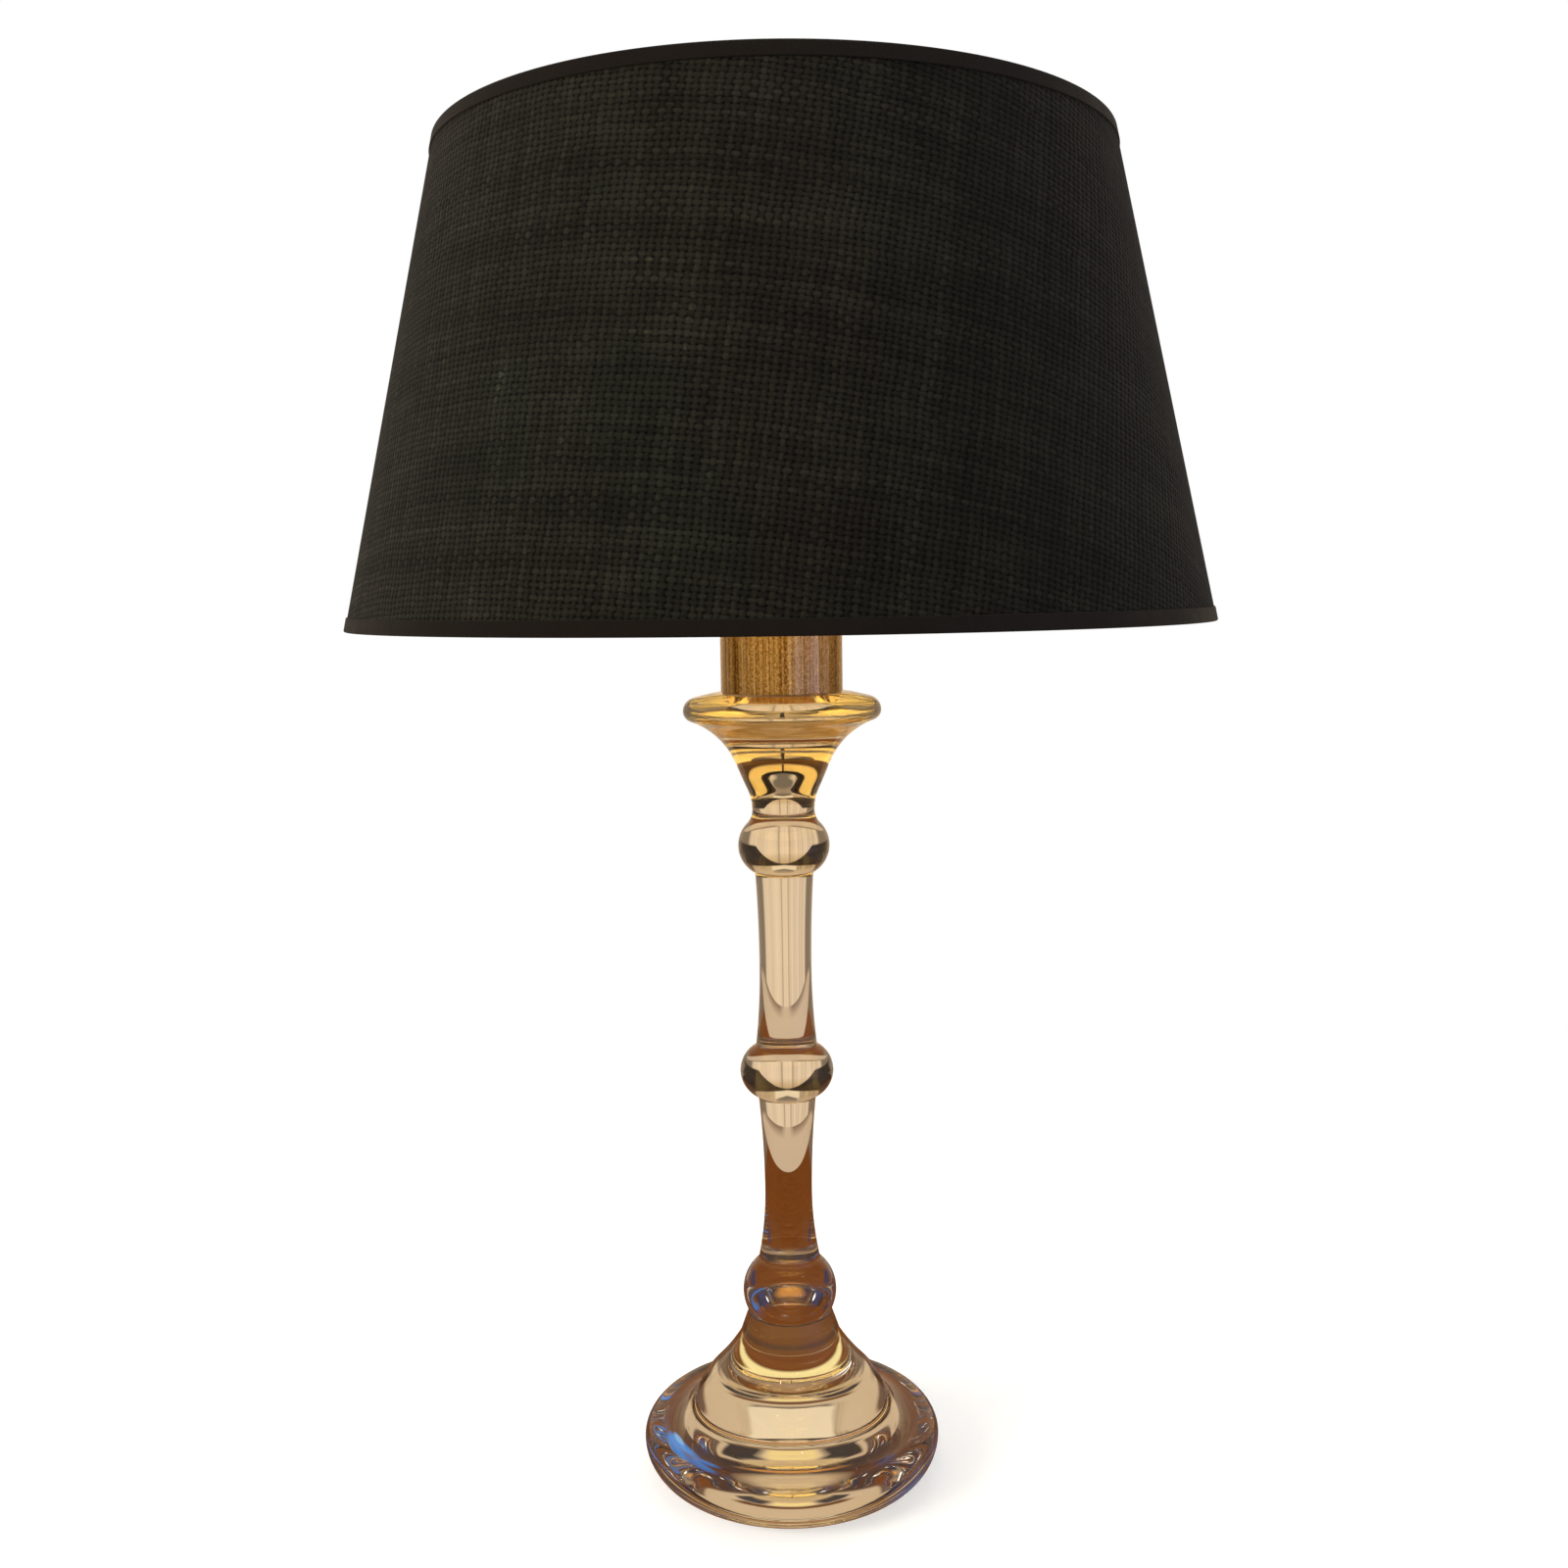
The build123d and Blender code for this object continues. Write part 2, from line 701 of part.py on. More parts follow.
def binding_outline(edge, inward):
    """Draw a binding's channel section round a rim at height edge; inward is 1 up the shade or -1 down it."""
    outside = -glue_gap
    face = outside - binding_thickness
    inside = panel_thickness + glue_gap * 2 + rim_wire_radius * 2
    cover = edge - inward * glue_gap
    hem = cover - inward * binding_thickness
    band_end = edge + inward * binding_width
    return_end = edge + inward * binding_return
    Polyline(
        (panel_radius(band_end, face), band_end),
        (panel_radius(hem, face), hem),
        (panel_radius(hem, inside + binding_thickness), hem),
        (panel_radius(return_end, inside + binding_thickness), return_end),
        (panel_radius(return_end, inside), return_end),
        (panel_radius(cover, inside), cover),
        (panel_radius(cover, outside), cover),
        (panel_radius(band_end, outside), band_end),
        close=True,
    )


# Cloth tape folded over the bottom rim
with BuildPart() as bottom_binding:
    with BuildSketch(Plane.XZ):
        with BuildLine():
            binding_outline(shade_bottom, 1)
        make_face()
    revolve(axis=Axis.Z)

# Cloth tape folded over the top rim
with BuildPart() as top_binding:
    with BuildSketch(Plane.XZ):
        with BuildLine():
            binding_outline(shade_top, -1)
        make_face()
    revolve(axis=Axis.Z)

# One file for each piece, named after it
pieces = {
    "glass_base": glass_base,
    "bond_layer": bond_layer,
    "base_plate": base_plate,
    "brass_cup": brass_cup,
    "cord_bush": cord_bush,
    "threaded_nipple": threaded_nipple,
    "lock_washer": lock_washer,
    "nipple_nut": nipple_nut,
    "holder_cap": holder_cap,
    "holder_locking_screw": holder_locking_screw,
    "holder_core": holder_core,
    "terminal_screws": terminal_screws,
    "centre_contact": centre_contact,
    "side_contacts": side_contacts,
    "holder_shell": holder_shell,
    "shade_ring_lower": shade_ring_lower,
    "shade_ring_upper": shade_ring_upper,
    "bulb_eyelet": bulb_eyelet,
    "bulb_insulator": bulb_insulator,
    "bulb_cap": bulb_cap,
    "bulb_globe": bulb_globe,
    "bulb_stem": bulb_stem,
    "bulb_filaments": bulb_filaments,
    "filament_supports": filament_supports,
    "fitter_ring": fitter_ring,
    "spider_arms": spider_arms,
    "bottom_ring": bottom_ring,
    "top_ring": top_ring,
    "shade_lining": shade_lining,
    "shade_fabric": shade_fabric,
    "bottom_binding": bottom_binding,
    "top_binding": top_binding,
}
os.makedirs("parts", exist_ok=True)
for name, piece in pieces.items():
    piece.part.label = name
    export_step(piece.part, f"parts/{name}.step")
print(f"{len(pieces)} pieces, shade from {shade_bottom:.2f} to {shade_top:.2f}")
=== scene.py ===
"""Dressed scene of a table lamp.

A turned crystal baluster carries a brass cup, a screw lampholder with its bulb, and a woven empire shade
on a wire carrier. Sizes are in millimetres from the table and the lamp's axis, and become metres as the
meshes are made. Finishes, lights and the camera are in metres.
"""

import logging
from abc import ABC, abstractmethod
from collections.abc import Callable, Sequence
from dataclasses import dataclass
from enum import Enum
from math import atan, atan2, ceil, cos, hypot, pi, radians, sin, sqrt, tan

import bpy
from mathutils import Matrix, Vector


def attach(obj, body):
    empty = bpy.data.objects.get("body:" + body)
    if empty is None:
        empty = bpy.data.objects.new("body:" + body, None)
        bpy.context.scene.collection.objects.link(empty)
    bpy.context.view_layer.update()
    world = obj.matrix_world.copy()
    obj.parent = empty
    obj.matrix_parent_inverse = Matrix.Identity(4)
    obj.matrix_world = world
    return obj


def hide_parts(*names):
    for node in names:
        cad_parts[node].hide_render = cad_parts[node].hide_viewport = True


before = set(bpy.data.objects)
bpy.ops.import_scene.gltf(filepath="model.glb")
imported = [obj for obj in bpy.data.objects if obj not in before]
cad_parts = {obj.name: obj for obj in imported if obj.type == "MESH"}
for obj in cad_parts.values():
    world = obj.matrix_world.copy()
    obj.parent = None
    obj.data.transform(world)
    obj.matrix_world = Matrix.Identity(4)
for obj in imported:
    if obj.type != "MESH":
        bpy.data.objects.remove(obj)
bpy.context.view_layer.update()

Point = tuple[float, float]
Place = tuple[float, float, float]
Colour = tuple[float, float, float, float]
Socket = bpy.types.NodeSocket

MM = 0.001
TAU = 2.0 * pi
UP: Point = (0.0, 1.0)
DOWN: Point = (0.0, -1.0)
OUTWARD: Point = (1.0, 0.0)
INWARD: Point = (-1.0, 0.0)
ORIGIN: Place = (0.0, 0.0, 0.0)
LOG = logging.getLogger("table_lamp")


class Body(Enum):
    """The groups that move together."""

    LAMP = "lamp"
    CLAMP_RING = "clamp_ring"
    SHADE = "shade"
    BULB_FOOT = "bulb_foot"
    BULB = "bulb"


def shade(red: float, green: float, blue: float) -> Colour:
    """Return an opaque linear colour."""
    return (red, green, blue, 1.0)


WHITE = shade(1.0, 1.0, 1.0)


class Section:
    """A half section drawn in millimetres as (radius, height) points, ready to be turned."""

    STRAIGHT: float = 1e-6

    def __init__(self, start: Point, chord: float = 1.5, step: float = 3.0) -> None:
        """Start the section.

        Args:
            start: first point.
            chord: longest piece of an arc, in millimetres.
            step: largest turn of an arc from point to point, in degrees.
        """
        self.points: list[Point] = [start]
        self.chord = chord
        self.step = radians(step)
        self.heading: Point = UP

    @staticmethod
    def _swing(first: Point, second: Point) -> float:
        """Return the angle from one direction to another."""
        cross = first[0] * second[1] - first[1] * second[0]
        return atan2(cross, first[0] * second[0] + first[1] * second[1])

    @staticmethod
    def _spun(way: Point, turn: float) -> Point:
        """Return a direction turned by an angle."""
        return (way[0] * cos(turn) - way[1] * sin(turn), way[0] * sin(turn) + way[1] * cos(turn))

    def _arc(self, start: Point, end: Point, heading: Point) -> list[Point]:
        """Sample the arc that leaves one point in a given direction and ends at another.

        Args:
            start: where the arc leaves.
            end: where it ends.
            heading: its direction at the start.

        Returns:
            The points after the start, the end among them. The section's heading becomes the arc's last
            direction.
        """
        length = hypot(*heading)
        along = (heading[0] / length, heading[1] / length)
        reach = (end[0] - start[0], end[1] - start[1])
        half = self._swing(along, reach)
        if abs(half) < self.STRAIGHT:
            self.heading = along
            return [end]
        radius = hypot(*reach) / (2.0 * sin(half))
        centre = (start[0] - along[1] * radius, start[1] + along[0] * radius)
        spoke = (start[0] - centre[0], start[1] - centre[1])
        sweep = 2.0 * half
        count = max(2, ceil(abs(sweep) / self.step), ceil(abs(radius * sweep) / self.chord))
        points = []
        for k in range(1, count):
            across, rise = self._spun(spoke, sweep * k / count)
            points.append((centre[0] + across, centre[1] + rise))
        points.append(end)
        self.heading = self._spun(along, sweep)
        return points

    def line(self, *ends: Point) -> "Section":
        """Draw straight lines through points.

        Args:
            ends: The points in turn.

        Returns:
            The section.
        """
        for end in ends:
            start = self.points[-1]
            self.heading = (end[0] - start[0], end[1] - start[1])
            self.points.append(end)
        return self

    def leave(self, end: Point, heading: Point) -> "Section":
        """Draw an arc that leaves the last point in a direction, and return the section."""
        self.points += self._arc(self.points[-1], end, heading)
        return self

    def carry(self, end: Point) -> "Section":
        """Draw an arc that goes on smoothly from the last piece, and return the section."""
        return self.leave(end, self.heading)

    def reach(self, end: Point, heading: Point) -> "Section":
        """Draw an arc to a point, given its direction back from there.

        Args:
            end: Where the arc ends.
            heading: The direction back from there.

        Returns:
            The section.
        """
        back = [end] + self._arc(end, self.points[-1], heading)
        self.points += back[-2::-1]
        self.heading = (-heading[0], -heading[1])
        return self

    def bulge(self, middle: Point, end: Point) -> "Section":
        """Draw an arc through a middle point.

        Args:
            middle: The point on the way.
            end: Where the arc ends.

        Returns:
            The section.
        """
        (ax, ay), (bx, by), (cx, cy) = self.points[-1], middle, end
        spread = 2.0 * (ax * (by - cy) + bx * (cy - ay) + cx * (ay - by))
        a2, b2, c2 = ax * ax + ay * ay, bx * bx + by * by, cx * cx + cy * cy
        ox = (a2 * (by - cy) + b2 * (cy - ay) + c2 * (ay - by)) / spread
        oy = (a2 * (cx - bx) + b2 * (ax - cx) + c2 * (bx - ax)) / spread
        side = 1.0 if spread > 0.0 else -1.0
        return self.leave(end, (-side * (ay - oy), side * (ax - ox)))

    def close(self) -> "Section":
        """Return to the first point, and return the section."""
        return self.line(self.points[0])

    def _walk(self, corner: int, side: int, reach: float) -> tuple[int, Point]:
        """Go along the section from a corner.

        Args:
            corner: the corner's place among the points.
            side: 1 to go on, -1 to go back.
            reach: how far to go, in millimetres.

        Returns:
            The first point past that distance, as a place among the points, and the point at the distance.
        """
        here, k = self.points[corner], corner + side
        left = reach
        while 0 < k < len(self.points) - 1:
            span = hypot(self.points[k][0] - here[0], self.points[k][1] - here[1])
            if span > left:
                break
            left -= span
            here = self.points[k]
            k += side
        end = self.points[k]
        span = hypot(end[0] - here[0], end[1] - here[1])
        share = min(1.0, left / span)
        return k, (here[0] + (end[0] - here[0]) * share, here[1] + (end[1] - here[1]) * share)

    def ease(self, reach: float, limit: float = 14.0, pieces: int = 6) -> "Section":
        """Round off every corner sharper than a limit.

        Args:
            reach: how far from the corner the rounding starts, in millimetres.
            limit: the turn in degrees that counts as a corner.
            pieces: pieces of each rounding.

        Returns:
            The section.
        """
        eased = [self.points[0]]
        done = 0
        for k in range(1, len(self.points) - 1):
            (ax, ay), (bx, by), (cx, cy) = self.points[k - 1 : k + 2]
            turn = self._swing((bx - ax, by - ay), (cx - bx, cy - by))
            if abs(turn) < radians(limit):
                if k >= done:
                    eased.append(self.points[k])
                continue
            _, start = self._walk(k, -1, reach)
            done, end = self._walk(k, 1, reach)
            while len(eased) > 1 and hypot(eased[-1][0] - bx, eased[-1][1] - by) <= reach:
                eased.pop()
            for j in range(pieces + 1):
                t = j / pieces
                a, b, c = (1.0 - t) ** 2, 2.0 * t * (1.0 - t), t * t
                eased.append((a * start[0] + b * bx + c * end[0], a * start[1] + b * by + c * end[1]))
        eased.append(self.points[-1])
        self.points = eased
        return self


class Bench:
    """The workbench: makes meshes with edit mode operators and finishes them."""

    WELD: float = 5e-6
    AXIS: float = 1e-7
    THREAD_REACH: float = 0.05
    NOTCH_REACH: float = 0.3

    @staticmethod
    def clear() -> None:
        """Leave edit mode and deselect everything."""
        if bpy.context.object is not None and bpy.context.object.mode != "OBJECT":
            bpy.ops.object.mode_set(mode="OBJECT")
        bpy.ops.object.select_all(action="DESELECT")

    @classmethod
    def take(cls, piece: bpy.types.Object) -> None:
        """Select one piece alone and make it active.

        Args:
            piece: The piece.
        """
        cls.clear()
        piece.select_set(True)
        bpy.context.view_layer.objects.active = piece

    @staticmethod
    def named(name: str) -> bpy.types.Object:
        """Name the active object and its mesh.

        Args:
            name: The name.

        Returns:
            The object.
        """
        piece = bpy.context.object
        piece.name = name
        piece.data.name = name
        return piece

    @classmethod
    def _start(cls, name: str, place: Place) -> bpy.types.Object:
        """Begin a mesh with one vertex, and stay in edit mode with it selected.

        Args:
            name: the piece's name.
            place: the vertex, in millimetres.

        Returns:
            The new object.
        """
        cls.clear()
        bpy.ops.mesh.primitive_plane_add(size=MM, location=ORIGIN)
        piece = cls.named(name)
        bpy.ops.object.mode_set(mode="EDIT")
        bpy.ops.mesh.select_all(action="SELECT")
        bpy.ops.mesh.merge(type="CENTER")
        bpy.ops.transform.translate(value=Vector(place) * MM)
        return piece

    @classmethod
    def turn(cls, name: str, section: Section, steps: int) -> bpy.types.Object:
        """Draw a section by extruding a vertex along it, and spin it round the lamp's axis.

        Args:
            name: the piece's name.
            section: the half section, closed or ending on the axis.
            steps: divisions round the axis.

        Returns:
            The closed piece, with its faces outwards.
        """
        radius, height = section.points[0]
        piece = cls._start(name, (radius, 0.0, height))
        for end in section.points[1:]:
            move = ((end[0] - radius) * MM, 0.0, (end[1] - height) * MM)
            bpy.ops.mesh.extrude_vertices_move(TRANSFORM_OT_translate={"value": move})
            radius, height = end
        bpy.ops.mesh.select_all(action="SELECT")
        bpy.ops.mesh.spin(steps=steps, angle=TAU, center=ORIGIN, axis=(0.0, 0.0, 1.0))
        cls.tidy()
        return piece

    @classmethod
    def tidy(cls) -> None:
        """Merge doubles, drop loose edges, turn the faces outwards and go back to object mode."""
        bpy.ops.mesh.select_all(action="SELECT")
        bpy.ops.mesh.remove_doubles(threshold=cls.WELD)
        bpy.ops.mesh.delete_loose(use_verts=True, use_edges=True, use_faces=False)
        bpy.ops.mesh.select_all(action="SELECT")
        bpy.ops.mesh.normals_make_consistent(inside=False)
        bpy.ops.object.mode_set(mode="OBJECT")

    @classmethod
    def smooth(cls, piece: bpy.types.Object, limit: float) -> None:
        """Shade a piece smooth, with its steeper edges kept crisp.

        Args:
            piece: The piece.
            limit: The angle of the steeper edges, in degrees.
        """
        cls.take(piece)
        bpy.ops.object.shade_smooth_by_angle(angle=radians(limit))
        piece.select_set(False)

    @classmethod
    def apply(cls, piece: bpy.types.Object, kind: str, **settings: object) -> None:
        """Add a modifier to a piece and apply it.

        Args:
            piece: the piece.
            kind: the modifier's type.
            **settings: the modifier's values.
        """
        cls.take(piece)
        modifier = piece.modifiers.new(kind.lower(), kind)
        for key, value in settings.items():
            setattr(modifier, key, value)
        bpy.ops.object.modifier_apply(modifier=modifier.name)
        piece.select_set(False)

    @classmethod
    def join(cls, group: Sequence[bpy.types.Object], name: str) -> bpy.types.Object:
        """Join pieces into the first of them, and name it.

        Args:
            group: The pieces.
            name: The joined piece's name.

        Returns:
            The joined piece.
        """
        cls.clear()
        for piece in group:
            piece.select_set(True)
        bpy.context.view_layer.objects.active = group[0]
        bpy.ops.object.join()
        return cls.named(name)

    @classmethod
    def reshape(cls, piece: bpy.types.Object, rule: Callable[[float, float, float], float]) -> None:
        """Move a turned piece's vertices in or out.

        Args:
            piece: the piece.
            rule: gives the move in millimetres from a vertex's angle, radius and height.
        """
        for vertex in piece.data.vertices:
            radius = hypot(vertex.co.x, vertex.co.y)
            if radius > cls.AXIS:
                angle = atan2(vertex.co.y, vertex.co.x)
                grown = radius + rule(angle, radius / MM, vertex.co.z / MM) * MM
                vertex.co.x *= grown / radius
                vertex.co.y *= grown / radius

    @classmethod
    def thread(cls, piece: bpy.types.Object, crest: float, depth: float, pitch: float, rows: Point) -> None:
        """Roll a screw thread into a turned piece between two heights.

        Args:
            piece: the piece.
            crest: radius of the wall that takes the thread.
            depth: depth of the groove.
            pitch: rise of one turn.
            rows: the heights where the thread starts and ends.
        """
        low, high = rows

        def groove(angle: float, radius: float, height: float) -> float:
            """Work out the groove at a vertex of the wall.

            Args:
                angle: The vertex's turn round the axis.
                radius: Its radius.
                height: Its height.

            Returns:
                Its move.
            """
            if abs(radius - crest) > cls.THREAD_REACH or not low < height < high:
                return 0.0
            fade = min(1.0, (height - low) / pitch, (high - height) / pitch)
            return -depth * fade * (0.5 - 0.5 * cos(TAU * height / pitch - angle))

        cls.reshape(piece, groove)

    @classmethod
    def flute(cls, piece: bpy.types.Object, rim: float, count: int, depth: float, rows: Point) -> None:
        """Press grip notches into a turned piece's rim between two heights.

        Args:
            piece: the piece.
            rim: radius of the wall that takes the notches.
            count: number of notches.
            depth: depth of a notch.
            rows: lowest and highest height.
        """
        low, high = rows

        def notch(angle: float, radius: float, height: float) -> float:
            """Work out the notch at a vertex of the rim.

            Args:
                angle: The vertex's turn round the axis.
                radius: Its radius.
                height: Its height.

            Returns:
                Its move.
            """
            if abs(radius - rim) > cls.NOTCH_REACH or not low <= height <= high:
                return 0.0
            return -depth * max(0.0, cos(angle * count)) ** 2

        cls.reshape(piece, notch)


class NodeBench:
    """Short calls for laying out a node tree."""

    def __init__(self, tree: bpy.types.NodeTree) -> None:
        """Work on a node tree."""
        self.tree = tree

    def feed(self, node: bpy.types.Node, key: str | int, value: object) -> None:
        """Give an input a value, or join it to an output.

        Args:
            node: The node.
            key: The input's name or number.
            value: The value or the output.
        """
        if isinstance(value, bpy.types.NodeSocket):
            self.tree.links.new(value, node.inputs[key])
        else:
            node.inputs[key].default_value = value

    def add(
        self, kind: str, inputs: dict[str | int, object] | None = None, **settings: object
    ) -> bpy.types.Node:
        """Add a node.

        Args:
            kind: the node's type.
            inputs: values or outputs for its inputs.
            **settings: the node's own properties.

        Returns:
            The node.
        """
        node = self.tree.nodes.new(kind)
        for key, value in settings.items():
            setattr(node, key, value)
        for key, value in (inputs or {}).items():
            self.feed(node, key, value)
        return node

    def math(self, operation: str, *values: object) -> Socket:
        """Return the result of a math node."""
        return self.add("ShaderNodeMath", dict(enumerate(values)), operation=operation).outputs[0]

    def both(self, first: object, second: object) -> Socket:
        """Return the product of two shares."""
        return self.math("MULTIPLY", first, second)

    def mix(self, share: object, low: object, high: object, blend: str = "MIX") -> Socket:
        """Return a mix of two colours."""
        values = {0: share, 6: low, 7: high}
        return self.add("ShaderNodeMix", values, data_type="RGBA", blend_type=blend).outputs[2]

    def ramp(self, share: object, *stops: tuple[float, Colour]) -> Socket:
        """Blend a colour from a ramp of stops.

        Args:
            share: The place on the ramp.
            stops: Places and their colours.

        Returns:
            The colour.
        """
        node = self.add("ShaderNodeValToRGB", {0: share})
        band = node.color_ramp.elements
        while len(band) < len(stops):
            band.new(0.5)
        for element, (place, colour) in zip(band, stops):
            element.position = place
            element.color = colour
        return node.outputs[0]

    def span(
        self, value: object, low: float, high: float, start: float = 0.0, end: float = 1.0
    ) -> Socket:
        """Return a value moved from one range to another, held at its ends."""
        values = {0: value, 1: low, 2: high, 3: start, 4: end}
        return self.add("ShaderNodeMapRange", values, clamp=True).outputs[0]

    def spot(self) -> Socket:
        """Return the Object coordinates, in metres."""
        return self.add("ShaderNodeTexCoord").outputs["Object"]

    def parts(self, vector: Socket) -> tuple[Socket, Socket, Socket]:
        """Return a vector's three parts."""
        node = self.add("ShaderNodeSeparateXYZ", {0: vector})
        return node.outputs[0], node.outputs[1], node.outputs[2]

    def length(self, vector: Socket) -> Socket:
        """Return a vector's length."""
        return self.add("ShaderNodeVectorMath", {0: vector}, operation="LENGTH").outputs["Value"]

    def stretch(self, vector: Socket, scale: Place) -> Socket:
        """Return a vector scaled along its axes."""
        return self.add("ShaderNodeMapping", {"Vector": vector, "Scale": scale}).outputs[0]

    def noise(self, vector: Socket, scale: float, detail: float = 2.0, roughness: float = 0.5) -> Socket:
        """Return a noise value from 0 to 1."""
        values = {"Vector": vector, "Scale": scale, "Detail": detail, "Roughness": roughness}
        return self.add("ShaderNodeTexNoise", values).outputs[0]


class CoatBench(NodeBench):
    """A node bench for one material, with short calls for its Principled shader."""

    def __init__(self, tree: bpy.types.NodeTree) -> None:
        """Work on a material's node tree."""
        super().__init__(tree)
        self.shader = tree.nodes["Principled BSDF"]

    def paint(self, colour: Socket, gloss: Socket) -> None:
        """Give the shader its colour and its roughness."""
        self.feed(self.shader, "Base Color", colour)
        self.feed(self.shader, "Roughness", gloss)

    def relief(self, height: Socket, strength: float, depth: float) -> None:
        """Raise a height pattern on the surface.

        Args:
            height: the pattern.
            strength: how strongly it shows.
            depth: its depth in metres.
        """
        bump = self.add("ShaderNodeBump", {"Strength": strength, "Distance": depth, "Height": height})
        self.feed(self.shader, "Normal", bump.outputs[0])

    def set(self, **values: object) -> None:
        """Set constant values on the shader's own sockets."""
        for key, value in values.items():
            self.shader.inputs[key.replace("_", " ")].default_value = value


class Finish(ABC):
    """A finish that is laid out in nodes round one Principled shader."""

    name: str = "finish"

    def make(self) -> bpy.types.Material:
        """Build the material once.

        Returns:
            The material.
        """
        title = f"{self.name}_finish"
        known = bpy.data.materials.get(title)
        if known is not None:
            return known
        material = bpy.data.materials.new(title)
        material.use_nodes = True
        self.lay(CoatBench(material.node_tree))
        return material

    @abstractmethod
    def lay(self, bench: CoatBench) -> None:
        """Lay out the nodes on a material's bench."""


@dataclass(frozen=True)
class CrystalFinish(Finish):
    """Clear crystal with a warm cast, a painted glow towards its top and the faint waves of fire polishing.
    """

    name: str = "polished_crystal"
    clear: Colour = shade(1.0, 0.975, 0.93)
    warm: Colour = shade(1.0, 0.960, 0.895)
    painted_amber_glow: Colour = shade(1.0, 0.895, 0.70)
    painted_amber_glow_rise: Point = (0.250, 0.322)
    painted_gold_glow: Colour = shade(1.0, 0.82, 0.50)
    painted_gold_glow_rise: Point = (0.3365, 0.3395)
    index: float = 1.53
    smear: float = 0.02
    wave: float = 0.0015

    def lay(self, bench: CoatBench) -> None:
        """Lay out the crystal's cast, its painted glow of the lit shade towards the top, its smears and its
        waves.

        Args:
            bench: The coat's nodes.
        """
        spot = bench.spot()
        _, _, height = bench.parts(spot)
        cast = bench.mix(bench.noise(spot, 22.0, 1.0), self.clear, self.warm)
        # painted glow: amber, then gold at the flange's top, stands in for the lit lining's light seen in
        # the clear crystal
        cast = bench.mix(bench.span(height, *self.painted_amber_glow_rise), cast, self.painted_amber_glow)
        cast = bench.mix(bench.span(height, *self.painted_gold_glow_rise), cast, self.painted_gold_glow)
        bench.paint(cast, bench.span(bench.noise(spot, 60.0, 3.0), 0.55, 0.8, 0.0, self.smear))
        bench.relief(bench.noise(bench.stretch(spot, (1.0, 1.0, 0.5)), 70.0, 1.0), 0.02, self.wave)
        bench.set(Transmission_Weight=1.0, IOR=self.index, Metallic=0.0)


@dataclass(frozen=True)
class BulbGlassFinish(Finish):
    """Thin clear bulb glass."""

    name: str = "bulb_glass"
    clear: Colour = shade(1.0, 0.985, 0.95)
    dusty: Colour = shade(0.97, 0.94, 0.88)
    index: float = 1.45

    def lay(self, bench: CoatBench) -> None:
        """Lay out the glass with a little dust.

        Args:
            bench: The coat's nodes.
        """
        dust = bench.noise(bench.spot(), 90.0, 3.0)
        bench.paint(bench.mix(dust, self.clear, self.dusty), bench.span(dust, 0.5, 0.8, 0.0, 0.05))
        bench.set(Transmission_Weight=1.0, IOR=self.index)


@dataclass(frozen=True)
class BrushedBrassFinish(Finish):
    """Turned and lacquered brass with upright columns of tone and painted reflection, fine streaks and a
    speckled grain.
    """

    name: str = "brushed_brass"
    deep: Colour = shade(0.20, 0.100, 0.024)
    brass: Colour = shade(0.62, 0.39, 0.13)
    pale: Colour = shade(0.96, 0.78, 0.44)
    painted_reflection_grey: Colour = shade(0.60, 0.50, 0.46)
    upright: Place = (1.0, 1.0, 0.004)
    column_and_reflection_share: float = 0.30
    streak_share: float = 0.50
    grain_share: float = 0.56
    brushing: float = 0.5

    def lay(self, bench: CoatBench) -> None:
        """Lay out the columns with their painted grey reflection, the streaks, the grain and the brushing.

        Args:
            bench: The coat's nodes.
        """
        spot = bench.spot()
        # partly tone, partly painted reflection: broad upright columns copy the room's stripes seen in the
        # brass
        column = bench.noise(bench.stretch(spot, self.upright), 190.0, 1.0, 0.5)
        streak = bench.noise(bench.stretch(spot, (1.0, 1.0, 0.006)), 1100.0, 2.0, 0.6)
        grain = bench.noise(bench.stretch(spot, (1.0, 1.0, 0.7)), 1350.0, 2.0, 0.8)
        tone = bench.math("MULTIPLY_ADD", streak, self.streak_share, bench.both(column, self.column_and_reflection_share))
        tone = bench.math("MULTIPLY_ADD", grain, self.grain_share, tone)
        colour = bench.ramp(tone, (0.54, self.deep), (0.67, self.brass), (0.80, self.pale))
        # painted reflection: grey upright patches copy the pale walls seen in the brass
        grey_reflection_share = bench.noise(bench.stretch(spot, self.upright), 95.0, 1.0)
        colour = bench.mix(bench.span(grey_reflection_share, 0.52, 0.68, 0.0, 0.55), colour, self.painted_reflection_grey)
        bench.paint(colour, bench.span(tone, 0.52, 0.82, 0.42, 0.24))
        bench.relief(bench.math("ADD", grain, streak), 0.4, 0.00010)
        bench.set(Metallic=1.0, Anisotropic=self.brushing)
        tangent = bench.add("ShaderNodeTangent", direction_type="RADIAL", axis="Z")
        bench.feed(bench.shader, "Tangent", tangent.outputs[0])


@dataclass(frozen=True)
class PlainMetalFinish(Finish):
    """Machined metal with fine turning marks and a little tarnish."""

    name: str = "plain_metal"
    dark: Colour = shade(0.66, 0.46, 0.18)
    light: Colour = shade(0.90, 0.70, 0.36)
    rough: float = 0.28
    dull: float = 0.14

    def lay(self, bench: CoatBench) -> None:
        """Lay out the tarnish and the turning marks.

        Args:
            bench: The coat's nodes.
        """
        spot = bench.spot()
        tarnish = bench.noise(spot, 160.0, 4.0, 0.6)
        gloss = bench.span(tarnish, 0.3, 0.7, self.rough + self.dull, self.rough)
        bench.paint(bench.ramp(tarnish, (0.35, self.dark), (0.65, self.light)), gloss)
        marks = bench.noise(bench.stretch(spot, (0.05, 0.05, 1.0)), 3000.0, 2.0)
        bench.relief(marks, 0.2, 0.00005)
        bench.set(Metallic=1.0)


